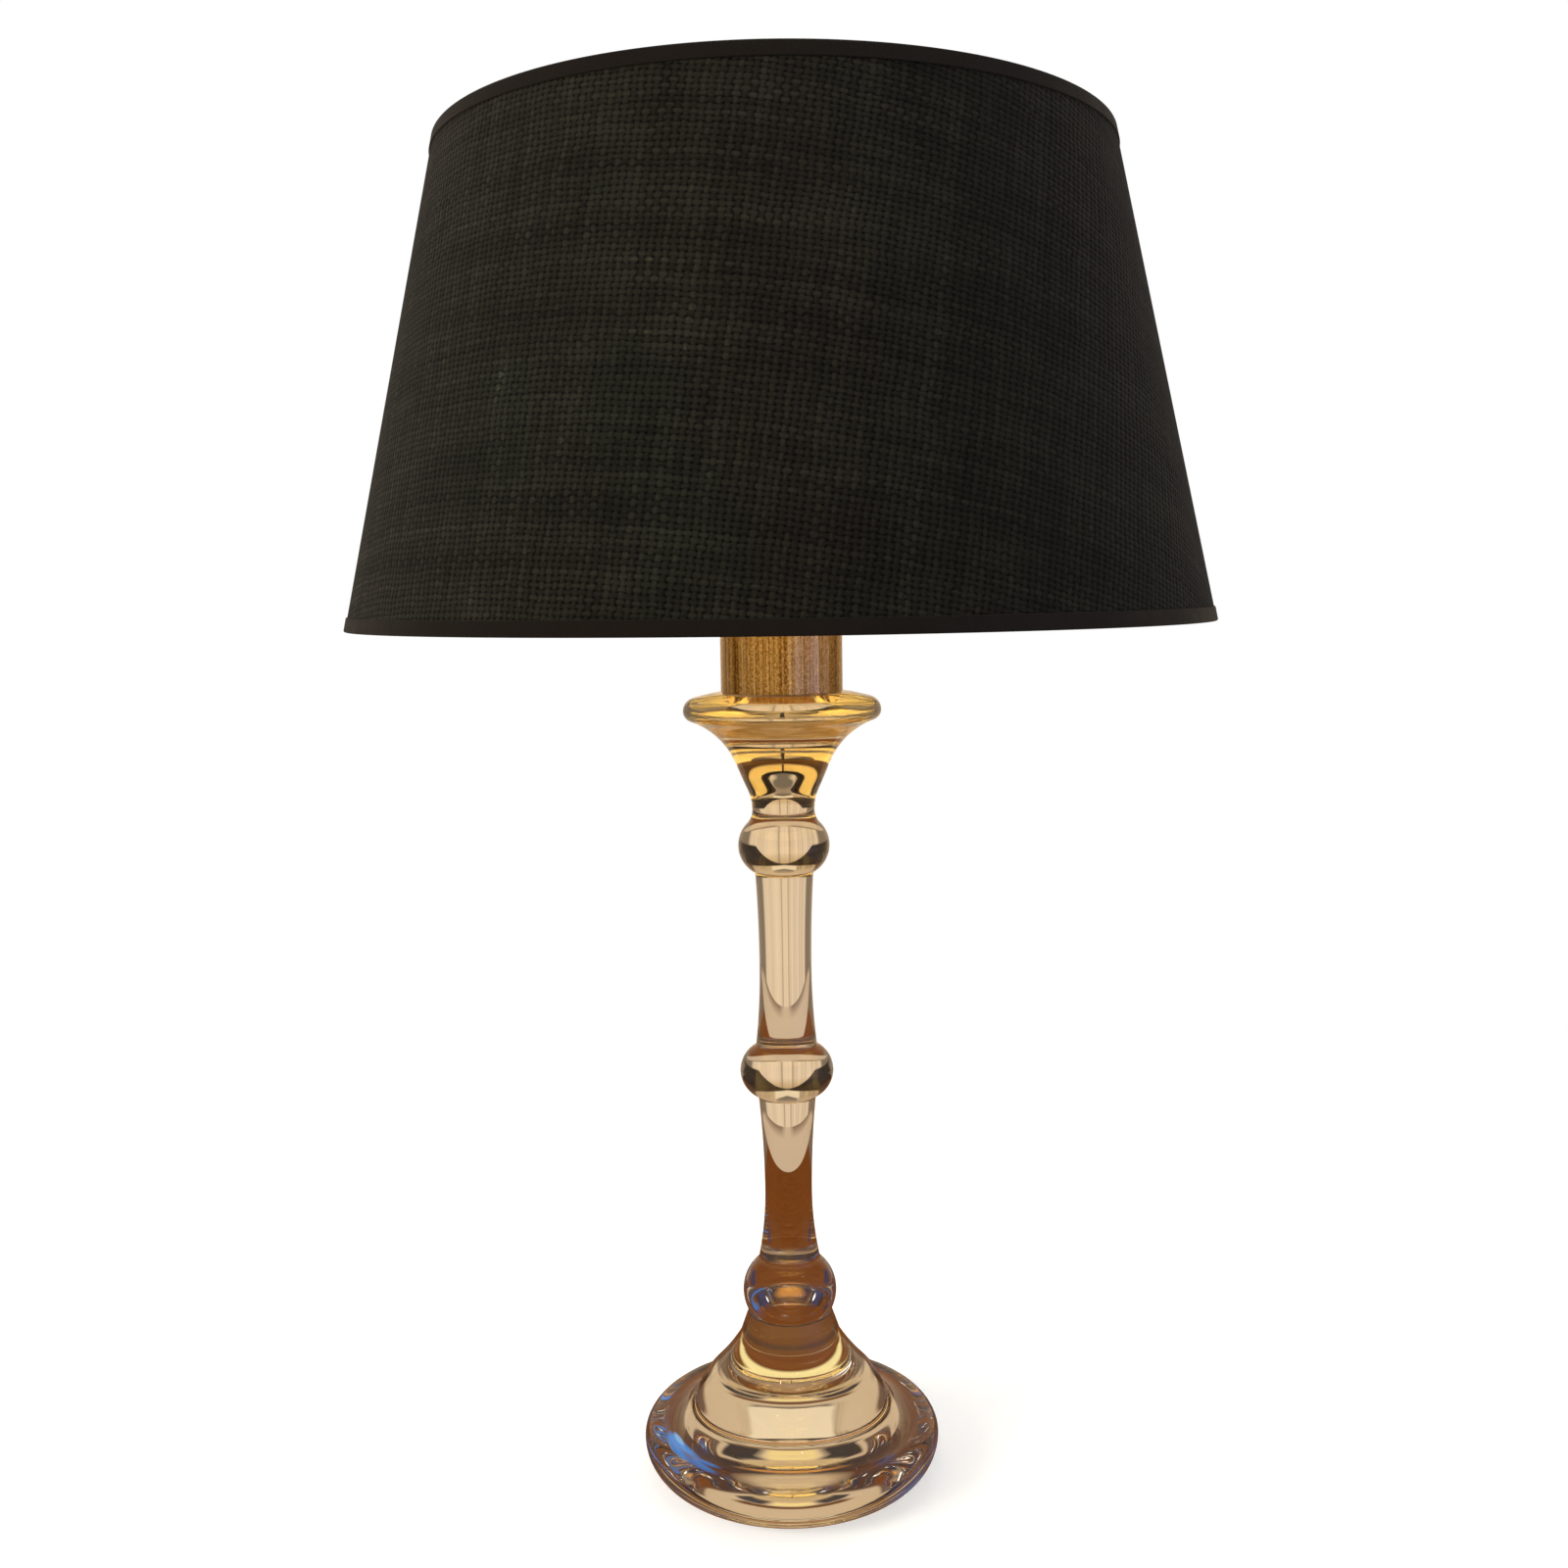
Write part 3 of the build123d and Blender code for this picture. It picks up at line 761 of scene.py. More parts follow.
@dataclass(frozen=True)
class MouldedFinish(Finish):
    """Moulded plastic or rubber with a fine grain and worn gloss."""

    name: str = "moulded"
    dark: Colour = shade(0.010, 0.010, 0.011)
    light: Colour = shade(0.022, 0.021, 0.021)
    rough: float = 0.42
    worn: float = 0.06
    dull: float = 0.1

    def lay(self, bench: CoatBench) -> None:
        """Lay out the mottle, the grain and the gloss.

        Args:
            bench: The coat's nodes.
        """
        spot = bench.spot()
        mottle = bench.noise(spot, 140.0, 4.0, 0.6)
        gloss = bench.span(mottle, 0.3, 0.7, self.rough - self.worn, self.rough + self.dull)
        bench.paint(bench.mix(mottle, self.dark, self.light), gloss)
        bench.relief(bench.noise(spot, 2200.0, 2.0, 0.6), 0.25, 0.00006)
        bench.set(IOR=1.5)


@dataclass(frozen=True)
class SealFinish(Finish):
    """Soft translucent seal."""

    name: str = "clear_seal"
    pale: Colour = shade(0.62, 0.55, 0.44)
    milky: Colour = shade(0.78, 0.72, 0.62)

    def lay(self, bench: CoatBench) -> None:
        """Lay out the milky cast.

        Args:
            bench: The coat's nodes.
        """
        cloud = bench.noise(bench.spot(), 300.0, 3.0)
        bench.paint(bench.mix(cloud, self.pale, self.milky), bench.span(cloud, 0.3, 0.7, 0.35, 0.5))
        bench.set(Transmission_Weight=0.5, IOR=1.41)


@dataclass(frozen=True)
class LightRodFinish(Finish):
    """Glowing light rods under a yellow coat."""

    name: str = "light_rod"
    coat: Colour = shade(0.95, 0.62, 0.16)
    deep_coat: Colour = shade(0.85, 0.5, 0.1)
    glow: Colour = shade(1.0, 0.60, 0.24)
    strength: float = 14.0

    def lay(self, bench: CoatBench) -> None:
        """Lay out the coat and its glow.

        Args:
            bench: The coat's nodes.
        """
        grain = bench.noise(bench.spot(), 900.0, 2.0)
        bench.paint(bench.mix(grain, self.coat, self.deep_coat), bench.span(grain, 0.3, 0.7, 0.35, 0.5))
        bench.set(Emission_Color=self.glow, Emission_Strength=self.strength)


@dataclass(frozen=True)
class GoldFilmFinish(Finish):
    """Gold lining film with a soft crinkle."""

    name: str = "gold_lining"
    deep: Colour = shade(0.72, 0.54, 0.21)
    light: Colour = shade(0.92, 0.75, 0.36)
    metal: float = 0.55

    def lay(self, bench: CoatBench) -> None:
        """Lay out the film's cast and crinkle.

        Args:
            bench: The coat's nodes.
        """
        spot = bench.spot()
        cast = bench.noise(spot, 18.0, 4.0, 0.6)
        crinkle = bench.noise(spot, 240.0, 3.0, 0.6)
        bench.paint(bench.mix(cast, self.deep, self.light), bench.span(crinkle, 0.3, 0.7, 0.36, 0.56))
        bench.relief(crinkle, 0.3, 0.0004)
        bench.set(Metallic=self.metal)


@dataclass(frozen=True)
class WovenClothFinish(Finish):
    """Coarse plain weave of slubbed yarn, on the cut panel's own grain."""

    name: str = "woven_cloth"
    warp_pitch: float = 0.00264
    weft_pitch: float = 0.00212
    # painted shade: the colour of the pores between the yarns
    gap: Colour = shade(0.0004, 0.0003, 0.0002)
    dark: Colour = shade(0.0031, 0.0028, 0.0021)
    yarn: Colour = shade(0.0074, 0.0068, 0.0050)
    pale: Colour = shade(0.0136, 0.0126, 0.0094)
    fleck: Colour = shade(0.0440, 0.0400, 0.0320)
    green_dye: Colour = shade(0.86, 0.98, 0.90)
    plain_dye: Colour = shade(1.0, 1.0, 0.92)
    red_dye: Colour = shade(1.03, 0.97, 0.98)
    drift: float = 1.1
    dive: float = 0.84
    least_width: float = 0.30
    slub_width: float = 0.34
    weft_mark: float = 531.7
    slub_share: float = 0.50
    yarn_share: float = 0.14
    patch_share: float = 0.34
    fuzz_share: float = 0.24

    @staticmethod
    def _choose(bench: CoatBench, share: Socket, low: Socket, high: Socket) -> Socket:
        """Return low where the share is 0 and high where it is 1."""
        return bench.math("MULTIPLY_ADD", share, bench.math("SUBTRACT", high, low), low)

    def _lattice(self, bench: CoatBench, grain: Socket) -> Socket:
        """Divide the panel into yarn cells, with the yarns wandering a little.

        Args:
            bench: The coat's nodes.
            grain: The panel's coordinates.

        Returns:
            The coordinates in yarn cells.
        """
        scaled = bench.stretch(grain, (1.0 / self.warp_pitch, 1.0 / self.weft_pitch, 1.0))
        drift = bench.add("ShaderNodeTexNoise", {"Vector": scaled, "Scale": 0.16, "Detail": 4.0}).outputs[1]
        wander = bench.add("ShaderNodeVectorMath", {0: drift, 3: self.drift}, operation="SCALE").outputs[0]
        return bench.add("ShaderNodeVectorMath", {0: scaled, 1: wander}, operation="ADD").outputs[0]

    def _mound(self, bench: CoatBench, across: Socket, along: Socket, slub: Socket) -> Socket:
        """Return the height of a yarn where it passes over: 1 on its crown, 0 at its edge.

        Args:
            bench: the material's node bench.
            across: distance from the yarn's middle line, in cells.
            along: distance from the crossing, in cells.
            slub: how thick the yarn is there, from 0 to 1.

        Returns:
            The height.
        """
        width = bench.math("MULTIPLY_ADD", slub, self.slub_width, self.least_width)
        side = bench.math("POWER", bench.math("ABSOLUTE", bench.math("DIVIDE", across, width)), 2.0)
        dive = bench.math("POWER", bench.math("ABSOLUTE", bench.math("DIVIDE", along, self.dive)), 2.0)
        return bench.math("SUBTRACT", bench.math("SUBTRACT", 1.0, side), dive)

    def _colour(self, bench: CoatBench, grain: Socket, tone: Socket, height: Socket) -> Socket:
        """Return the cloth's colour, with painted shade down the yarns' sides and in the pores, and a
        painted highlight on their crowns.

        Args:
            bench: the material's node bench.
            grain: the panel's coordinates, in metres.
            tone: how pale the yarn is, from 0 to 1.
            height: the yarns' height.

        Returns:
            The colour.
        """
        yarns = ((0.40, self.dark), (0.60, self.yarn), (0.78, self.pale), (0.90, self.fleck))
        cast = bench.noise(bench.stretch(grain, (1.0, 0.45, 1.0)), 16.0, 2.0, 0.5)
        dyes = bench.ramp(cast, (0.36, self.green_dye), (0.5, self.plain_dye), (0.64, self.red_dye))
        colour = bench.mix(1.0, bench.ramp(tone, *yarns), dyes, "MULTIPLY")
        # painted shade and highlight: each yarn darkens towards its edges and brightens on its crown
        crown = bench.ramp(
            bench.span(height, -0.35, 0.95),
            (0.0, shade(0.10, 0.10, 0.10)),
            (0.45, shade(0.82, 0.82, 0.82)),
            (1.0, shade(1.60, 1.60, 1.60)),
        )
        colour = bench.mix(1.0, colour, crown, "MULTIPLY")
        # painted shade: the pores between the yarns go nearly black
        return bench.mix(bench.span(height, -0.14, 0.30), self.gap, colour)

    def lay(self, bench: CoatBench) -> None:
        """Lay out the crossing yarns, their slubs, the pores between them with their painted shade, and
        their relief.

        Args:
            bench: The coat's nodes.
        """
        grain = bench.add("ShaderNodeUVMap", uv_map="grain").outputs[0]
        lattice = self._lattice(bench, grain)
        column, row, _ = bench.parts(lattice)
        column_id, row_id = bench.math("FLOOR", column), bench.math("FLOOR", row)
        side = bench.math("SUBTRACT", bench.math("FRACT", column), 0.5)
        rise = bench.math("SUBTRACT", bench.math("FRACT", row), 0.5)
        over = bench.math("FLOORED_MODULO", bench.math("ADD", column_id, row_id), 2.0)
        across, along = self._choose(bench, over, side, rise), self._choose(bench, over, rise, side)
        warp = bench.noise(bench.stretch(lattice, (1.0, 0.10, 1.0)), 0.9, 3.0, 0.6)
        weft = bench.noise(bench.stretch(lattice, (0.06, 1.0, 1.0)), 0.9, 3.0, 0.6)
        slub = self._choose(bench, over, warp, weft)
        own = self._mound(bench, across, along, slub)
        beyond = bench.math("SUBTRACT", 1.0, bench.math("ABSOLUTE", across))
        neighbour = self._mound(bench, along, beyond, self._choose(bench, over, weft, warp))
        height = bench.math("MAXIMUM", own, neighbour)
        cell = self._choose(bench, over, column_id, row_id)
        yarn_id = bench.math("MULTIPLY_ADD", over, self.weft_mark, cell)
        yarn = bench.add("ShaderNodeTexWhiteNoise", {"W": yarn_id}, noise_dimensions="1D").outputs[0]
        patch = bench.noise(bench.stretch(lattice, (0.4, 1.0, 1.0)), 0.12, 3.0, 0.6)
        fuzz = bench.noise(lattice, 3.1, 2.0, 0.7)
        tone = bench.math("MULTIPLY_ADD", slub, self.slub_share, bench.both(yarn, self.yarn_share))
        tone = bench.math("MULTIPLY_ADD", patch, self.patch_share, tone)
        tone = bench.math("MULTIPLY_ADD", fuzz, self.fuzz_share, tone)
        bench.paint(self._colour(bench, grain, tone, height), bench.span(slub, 0.3, 0.7, 0.95, 0.78))
        thick = bench.math("MULTIPLY_ADD", fuzz, 0.25, bench.math("MAXIMUM", height, -0.2))
        bench.relief(thick, 0.6, 0.0005)
        bench.set(Sheen_Weight=0.04, Sheen_Roughness=0.5, Specular_IOR_Level=0.15)


@dataclass(frozen=True)
class TapeFinish(Finish):
    """Smooth bias tape with a fine slanting rib."""

    name: str = "binding_tape"
    dark: Colour = shade(0.0015, 0.0010, 0.0008)
    light: Colour = shade(0.0042, 0.0030, 0.0025)
    rib_rise: float = 5200.0
    rib_turn: float = 900.0

    def lay(self, bench: CoatBench) -> None:
        """Lay out the tape's rib and cast.

        Args:
            bench: The coat's nodes.
        """
        spot = bench.spot()
        right, back, height = bench.parts(spot)
        angle = bench.math("ARCTAN2", back, right)
        slant = bench.math("MULTIPLY_ADD", height, self.rib_rise, bench.both(angle, self.rib_turn))
        rib = bench.math("MULTIPLY_ADD", bench.math("SINE", slant), 0.5, 0.5)
        cast = bench.noise(spot, 60.0, 4.0, 0.6)
        tone = bench.math("MULTIPLY_ADD", rib, 0.3, bench.both(cast, 0.7))
        bench.paint(bench.mix(tone, self.dark, self.light), bench.span(cast, 0.3, 0.7, 0.55, 0.75))
        bench.relief(bench.math("ADD", rib, cast), 0.35, 0.00025)
        bench.set(Sheen_Weight=0.05, Specular_IOR_Level=0.35)


@dataclass(frozen=True)
class Pool:
    """A soft oval of light or shade on the table round the foot, seen only in the glass."""

    place: Point
    size: Point
    turn: float
    colour: Colour


@dataclass(frozen=True)
class PaleFloorFinish(Finish):
    """Pale floor that fades into the white round it, and shows as a wooden table in glass and brass."""

    name: str = "pale_floor"
    pale: Colour = shade(0.50, 0.50, 0.50)
    white: Colour = shade(0.54, 0.54, 0.54)
    lift: float = 0.58
    wood: Colour = shade(0.25, 0.078, 0.016)
    dark_wood: Colour = shade(0.11, 0.029, 0.006)
    beige: Colour = shade(0.64, 0.47, 0.31)
    # painted shadow: the darker strip at the foot of the wall, past the table
    crease: Colour = shade(0.26, 0.17, 0.10)
    aside: Colour = shade(0.20, 0.15, 0.105)
    near: Colour = shade(0.016, 0.011, 0.009)
    fade: Point = (0.36, 0.95)
    near_edge: Point = (-0.26, -0.16)
    table_back: Point = (0.385, 0.388)
    table_side: Point = (0.36, 0.40)
    shadow_strip_back: Point = (0.53, 0.60)
    shadow_strip_side: Point = (0.03, 0.10)
    beige_end: Point = (0.60, 0.61)
    table_end: Point = (0.8, 0.9)
    pool_core: float = 0.5
    pools: tuple[Pool, ...] = (
        Pool((0.0, 0.0), (0.066, 0.066), 0.0, shade(0.058, 0.036, 0.028)),
        Pool((0.0, 0.042), (0.034, 0.018), 0.0, shade(0.17, 0.060, 0.014)),
        Pool((0.0, -0.0235), (0.026, 0.0048), 0.0, shade(0.62, 0.25, 0.055)),
        Pool((0.044, -0.027), (0.010, 0.006), 30.0, shade(0.045, 0.042, 0.100)),
        Pool((0.068, -0.037), (0.030, 0.022), 20.0, shade(0.05, 0.19, 0.52)),
        Pool((-0.068, -0.034), (0.024, 0.012), -40.0, shade(0.040, 0.038, 0.062)),
        Pool((0.0, -0.041), (0.030, 0.013), 0.0, shade(0.62, 0.44, 0.25)),
        Pool((-0.049, -0.011), (0.017, 0.0052), -54.0, shade(0.06, 0.27, 0.74)),
        Pool((-0.049, -0.006), (0.007, 0.0030), -70.0, shade(0.20, 0.50, 0.90)),
        Pool((-0.038, -0.026), (0.010, 0.0034), -30.0, shade(0.05, 0.18, 0.52)),
        Pool((0.073, -0.010), (0.026, 0.008), 80.0, shade(0.11, 0.16, 0.27)),
        Pool((-0.072, 0.002), (0.030, 0.010), 90.0, shade(0.05, 0.04, 0.036)),
        Pool((0.102, 0.088), (0.030, 0.026), 0.0, shade(0.050, 0.036, 0.085)),
        Pool((-0.102, 0.090), (0.030, 0.026), 0.0, shade(0.050, 0.038, 0.075)),
        Pool((0.0, 0.0684), (0.044, 0.0036), 0.0, shade(1.0, 0.82, 0.36)),
    )

    def _pool(self, bench: CoatBench, spot: Socket, table: Socket, pool: Pool) -> Socket:
        """Lay one pool on the table.

        Args:
            bench: The coat's nodes.
            spot: The place on the floor.
            table: The table's colour.
            pool: The pool.

        Returns:
            The colour with the pool in it.
        """
        values = {
            "Vector": spot,
            "Location": (*pool.place, 0.0),
            "Rotation": (0.0, 0.0, radians(pool.turn)),
            "Scale": (*pool.size, 1.0),
        }
        oval = bench.add("ShaderNodeMapping", values, vector_type="TEXTURE").outputs[0]
        share = bench.span(bench.length(oval), self.pool_core, 1.0, 1.0, 0.0)
        return bench.mix(share, table, pool.colour)

    def _table(self, bench: CoatBench, spot: Socket) -> Socket:
        """Colour the table, what lies past its edges, the painted shadow strip at the wall's foot and the
        light on it.

        Args:
            bench: The coat's nodes.
            spot: The place on the floor.

        Returns:
            The colour.
        """
        right, back, _ = bench.parts(spot)
        side = bench.math("ABSOLUTE", right)
        grain = bench.noise(bench.stretch(spot, (1.0, 9.0, 1.0)), 14.0, 4.0, 0.6)
        table = bench.mix(grain, self.dark_wood, self.wood)
        table = bench.mix(bench.span(back, *self.near_edge, 1.0, 0.0), table, self.near)
        table = bench.mix(bench.span(side, *self.table_side), table, self.aside)
        table = bench.mix(bench.span(back, *self.table_back), table, self.beige)
        # painted shadow: a darker strip at the foot of the wall, kept off the middle
        crease = bench.both(bench.span(back, *self.shadow_strip_back), bench.span(side, *self.shadow_strip_side))
        table = bench.mix(crease, table, self.crease)
        for pool in self.pools:
            table = self._pool(bench, spot, table, pool)
        return table

    def lay(self, bench: CoatBench) -> None:
        """Lay out the pale floor and, for light that comes out of glass, the table.

        Args:
            bench: The coat's nodes.
        """
        spot = bench.spot()
        mottle = bench.noise(spot, 9.0, 3.0)
        bench.feed(bench.shader, "Base Color", bench.mix(mottle, self.pale, self.white))
        bench.set(Roughness=0.9, Specular_IOR_Level=0.1)
        bench.set(Emission_Color=WHITE, Emission_Strength=self.lift)
        reach = bench.length(spot)
        _, back, _ = bench.parts(spot)
        glow = bench.add("ShaderNodeEmission", {0: self._table(bench, spot)}).outputs[0]
        clear = bench.add("ShaderNodeBsdfTransparent").outputs[0]
        beyond = bench.span(back, *self.beige_end)
        far = bench.math("MAXIMUM", beyond, bench.span(reach, *self.table_end))
        inside = bench.add("ShaderNodeMixShader", {0: far, 1: glow, 2: clear}).outputs[0]
        fade = bench.span(reach, *self.fade)
        floor = bench.shader.outputs[0]
        plain = bench.add("ShaderNodeMixShader", {0: fade, 1: floor, 2: clear}).outputs[0]
        path = bench.add("ShaderNodeLightPath")
        gloss = bench.math("MAXIMUM", path.outputs["Is Transmission Ray"], path.outputs["Is Glossy Ray"])
        seen = bench.add("ShaderNodeMixShader", {0: gloss, 1: plain, 2: inside}).outputs[0]
        bench.feed(bench.tree.nodes["Material Output"], "Surface", seen)


class Finishes:
    """The lamp's finishes, one for each material slot of the record."""

    by_slot: dict[str, Finish] = {
        "crystal": CrystalFinish(),
        "brushed_brass": BrushedBrassFinish(),
        "plain_brass": PlainMetalFinish(name="plain_brass"),
        "clear_seal": SealFinish(),
        "black_bush": MouldedFinish(name="black_bush", rough=0.5),
        "black_moulding": MouldedFinish(name="black_moulding", rough=0.36),
        "zinc_steel": PlainMetalFinish(
            name="zinc_steel", dark=shade(0.34, 0.34, 0.35), light=shade(0.60, 0.60, 0.61), rough=0.3
        ),
        "porcelain": MouldedFinish(
            name="porcelain", dark=shade(0.70, 0.68, 0.62), light=shade(0.82, 0.80, 0.76), rough=0.2
        ),
        "bulb_glass": BulbGlassFinish(),
        "bulb_metal": PlainMetalFinish(
            name="bulb_metal", dark=shade(0.48, 0.48, 0.47), light=shade(0.74, 0.73, 0.71), rough=0.24
        ),
        "black_glass": MouldedFinish(
            name="black_glass",
            dark=shade(0.006, 0.006, 0.008),
            light=shade(0.012, 0.012, 0.014),
            rough=0.12,
        ),
        "light_rod": LightRodFinish(),
        "black_wire": MouldedFinish(
            name="black_wire",
            dark=shade(0.012, 0.011, 0.010),
            light=shade(0.026, 0.024, 0.022),
            rough=0.34,
        ),
        "gold_lining": GoldFilmFinish(),
        "shade_cloth": WovenClothFinish(),
        "binding_cloth": TapeFinish(),
    }

    @classmethod
    def dress(cls, piece: bpy.types.Object, slot: str) -> None:
        """Give a piece the finish of a slot."""
        piece.data.materials.clear()
        piece.data.materials.append(cls.by_slot[slot].make())


class SubAssembly(ABC):
    """A group of pieces that is built and put on its bodies."""

    @abstractmethod
    def build(self) -> None:
        """Build, dress and place every piece of the group."""

    @staticmethod
    def settle(
        piece: bpy.types.Object, body: Body, slot: str, *nodes: str, limit: float = 32.0
    ) -> None:
        """Shade and dress a piece, and put it on its body in place of its plain nodes.

        Args:
            piece: the piece.
            body: the body that it rides on.
            slot: its material slot.
            *nodes: the plain nodes that it stands for.
            limit: the angle in degrees over which edges stay crisp.
        """
        Bench.smooth(piece, limit)
        Finishes.dress(piece, slot)
        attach(piece, body.value)
        if nodes:
            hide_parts(*nodes)
        LOG.info("%s on %s: %d faces, %s", piece.name, body.value, len(piece.data.polygons), slot)


@dataclass(frozen=True)
class Crystal(SubAssembly):
    """The solid crystal baluster, and the brass plate bonded to its top."""

    recess: float = 3.0
    ground_inner: float = 40.6
    contact: float = 49.6
    rim: Point = (64.6, 14.5)
    shoulder: Point = (56.1, 21.9)
    hollow: Point = (41.7, 30.9)
    flare: Point = (35.2, 41.7)
    foot_neck: Point = (22.1, 58.6)
    collar: Point = (18.0, 70.3)
    lower_knop: Point = (20.3, 80.0)
    lower_knop_top: Point = (13.5, 92.8)
    lower_waist: Point = (10.2, 124.2)
    lower_stem_top: Point = (12.5, 166.8)
    middle_knop: Point = (20.0, 176.8)
    middle_knop_top: Point = (13.2, 188.5)
    upper_waist: Point = (11.1, 223.5)
    upper_stem_top: Point = (12.35, 264.1)
    upper_knop: Point = (19.35, 275.7)
    upper_knop_top: Point = (15.15, 285.3)
    neck: Point = (13.15, 290.9)
    throat: Point = (15.1, 299.8)
    trumpet: Point = (19.4, 309.9)
    underside: Point = (38.2, 328.8)
    flange_edge: Point = (41.5, 332.9)
    slope_edge: Point = (37.5, 338.2)
    flat_top: Point = (29.5, 340.1)
    crease: float = 0.8
    crisp: float = 24.0
    steps: int = 200
    bond: float = 0.5
    bond_radius: float = 24.7
    bond_lap: float = 0.3
    plate: float = 6.0
    plate_radius: float = 24.15
    plate_bed: float = 0.05
    plate_edge: float = 0.6
    plate_steps: int = 96
    tube_radius: float = 5.05
    tube_edge: float = 0.5
    tube_floor: float = 0.4

    def section(self) -> Section:
        """Draw the baluster's half section, from the hollow underside to the sloped and flat top.

        Returns:
            The section.
        """
        return (
            Section((0.0, self.recess))
            .leave((self.ground_inner, 0.0), OUTWARD)
            .line((self.contact, 0.0))
            .reach(self.rim, DOWN)
            .leave(self.shoulder, UP)
            .carry(self.hollow)
            .carry(self.flare)
            .carry(self.foot_neck)
            .line(self.collar)
            .bulge(self.lower_knop, self.lower_knop_top)
            .reach(self.lower_waist, DOWN)
            .leave(self.lower_stem_top, UP)
            .bulge(self.middle_knop, self.middle_knop_top)
            .reach(self.upper_waist, DOWN)
            .leave(self.upper_stem_top, UP)
            .bulge(self.upper_knop, self.upper_knop_top)
            .reach(self.neck, DOWN)
            .leave(self.throat, UP)
            .carry(self.trumpet)
            .carry(self.underside)
            .reach(self.flange_edge, DOWN)
            .leave(self.slope_edge, UP)
            .line(self.flat_top, (0.0, self.flat_top[1]))
            .ease(self.crease)
        )

    def _plate(self, seat: float) -> Section:
        """Draw the plate on its seat, with eased edges and the tube's tapped bore.

        Args:
            seat: The height of the seat.

        Returns:
            The section.
        """
        face = seat - self.plate_bed
        floor = seat + self.bond + self.tube_floor
        crown = seat + self.bond + self.plate
        return (
            Section((0.0, face))
            .line((self.plate_radius, face), (self.plate_radius, crown - self.plate_edge))
            .line((self.plate_radius - self.plate_edge, crown), (self.tube_radius + self.tube_edge, crown))
            .line((self.tube_radius, crown - self.tube_edge), (self.tube_radius, floor), (0.0, floor))
        )

    def _film(self, seat: float) -> Section:
        """Draw the clear bond that swells out round the plate's foot.

        Args:
            seat: The height of the plate's seat.

        Returns:
            The section.
        """
        inner = self.plate_radius - self.bond_lap
        low, high = seat - self.plate_bed / 2.0, seat + self.bond
        return (
            Section((inner, low), 0.2, 20.0)
            .line((self.bond_radius, low))
            .leave((self.bond_radius, high), OUTWARD)
            .line((inner, high))
            .close()
        )

    def build(self) -> None:
        """Build the baluster, the plate and the clear bond."""
        baluster = Bench.turn("crystal_baluster", self.section(), self.steps)
        self.settle(baluster, Body.LAMP, "crystal", "glass_base", limit=self.crisp)
        seat = self.flat_top[1]
        plate = Bench.turn("bonded_plate", self._plate(seat), self.plate_steps)
        self.settle(plate, Body.LAMP, "plain_brass", "base_plate")
        film = Bench.turn("bond_film", self._film(seat), self.plate_steps)
        self.settle(film, Body.LAMP, "clear_seal", "bond_layer")


@dataclass(frozen=True)
class BrassCup(SubAssembly):
    """The brushed brass cup on the crystal."""

    base: float = 340.6
    radius: float = 25.4
    height: float = 44.0
    wall: float = 1.2
    top_thickness: float = 1.5
    edge: float = 1.0
    lip: float = 0.25
    tube_hole: float = 5.05
    inlet_height: float = 12.0
    inlet_hole: float = 5.55
    inlet_sides: int = 48
    rows: int = 6
    crisp: float = 28.0
    steps: int = 160

    def _section(self) -> Section:
        """Draw the cup, with a few rows up its wall.

        Returns:
            The section.
        """
        top = self.base + self.height
        under = top - self.top_thickness
        inner = self.radius - self.wall
        foot = self.base + self.lip
        section = (
            Section((inner, foot), 0.5, 10.0)
            .line((inner + self.lip, self.base), (self.radius - self.lip, self.base))
            .leave((self.radius, foot), OUTWARD)
        )
        for k in range(1, self.rows + 1):
            section.line((self.radius, foot + (self.height - self.edge - self.lip) * k / self.rows))
        section.leave((self.radius - self.edge, top), UP)
        return section.line((self.tube_hole, top), (self.tube_hole, under), (inner, under)).close()

    def build(self) -> None:
        """Turn the cup and bore the hole for the inlet bush."""
        cup = Bench.turn("socket_cup", self._section(), self.steps)
        Bench.clear()
        bpy.ops.mesh.primitive_cylinder_add(
            vertices=self.inlet_sides,
            radius=self.inlet_hole * MM,
            depth=self.radius * MM,
            location=(0.0, self.radius * MM, (self.base + self.inlet_height) * MM),
            rotation=(pi / 2.0, 0.0, 0.0),
        )
        drill = bpy.context.object
        Bench.apply(cup, "BOOLEAN", operation="DIFFERENCE", object=drill, solver="EXACT")
        bpy.data.objects.remove(drill, do_unlink=True)
        self.settle(cup, Body.LAMP, "brushed_brass", "brass_cup", limit=self.crisp)


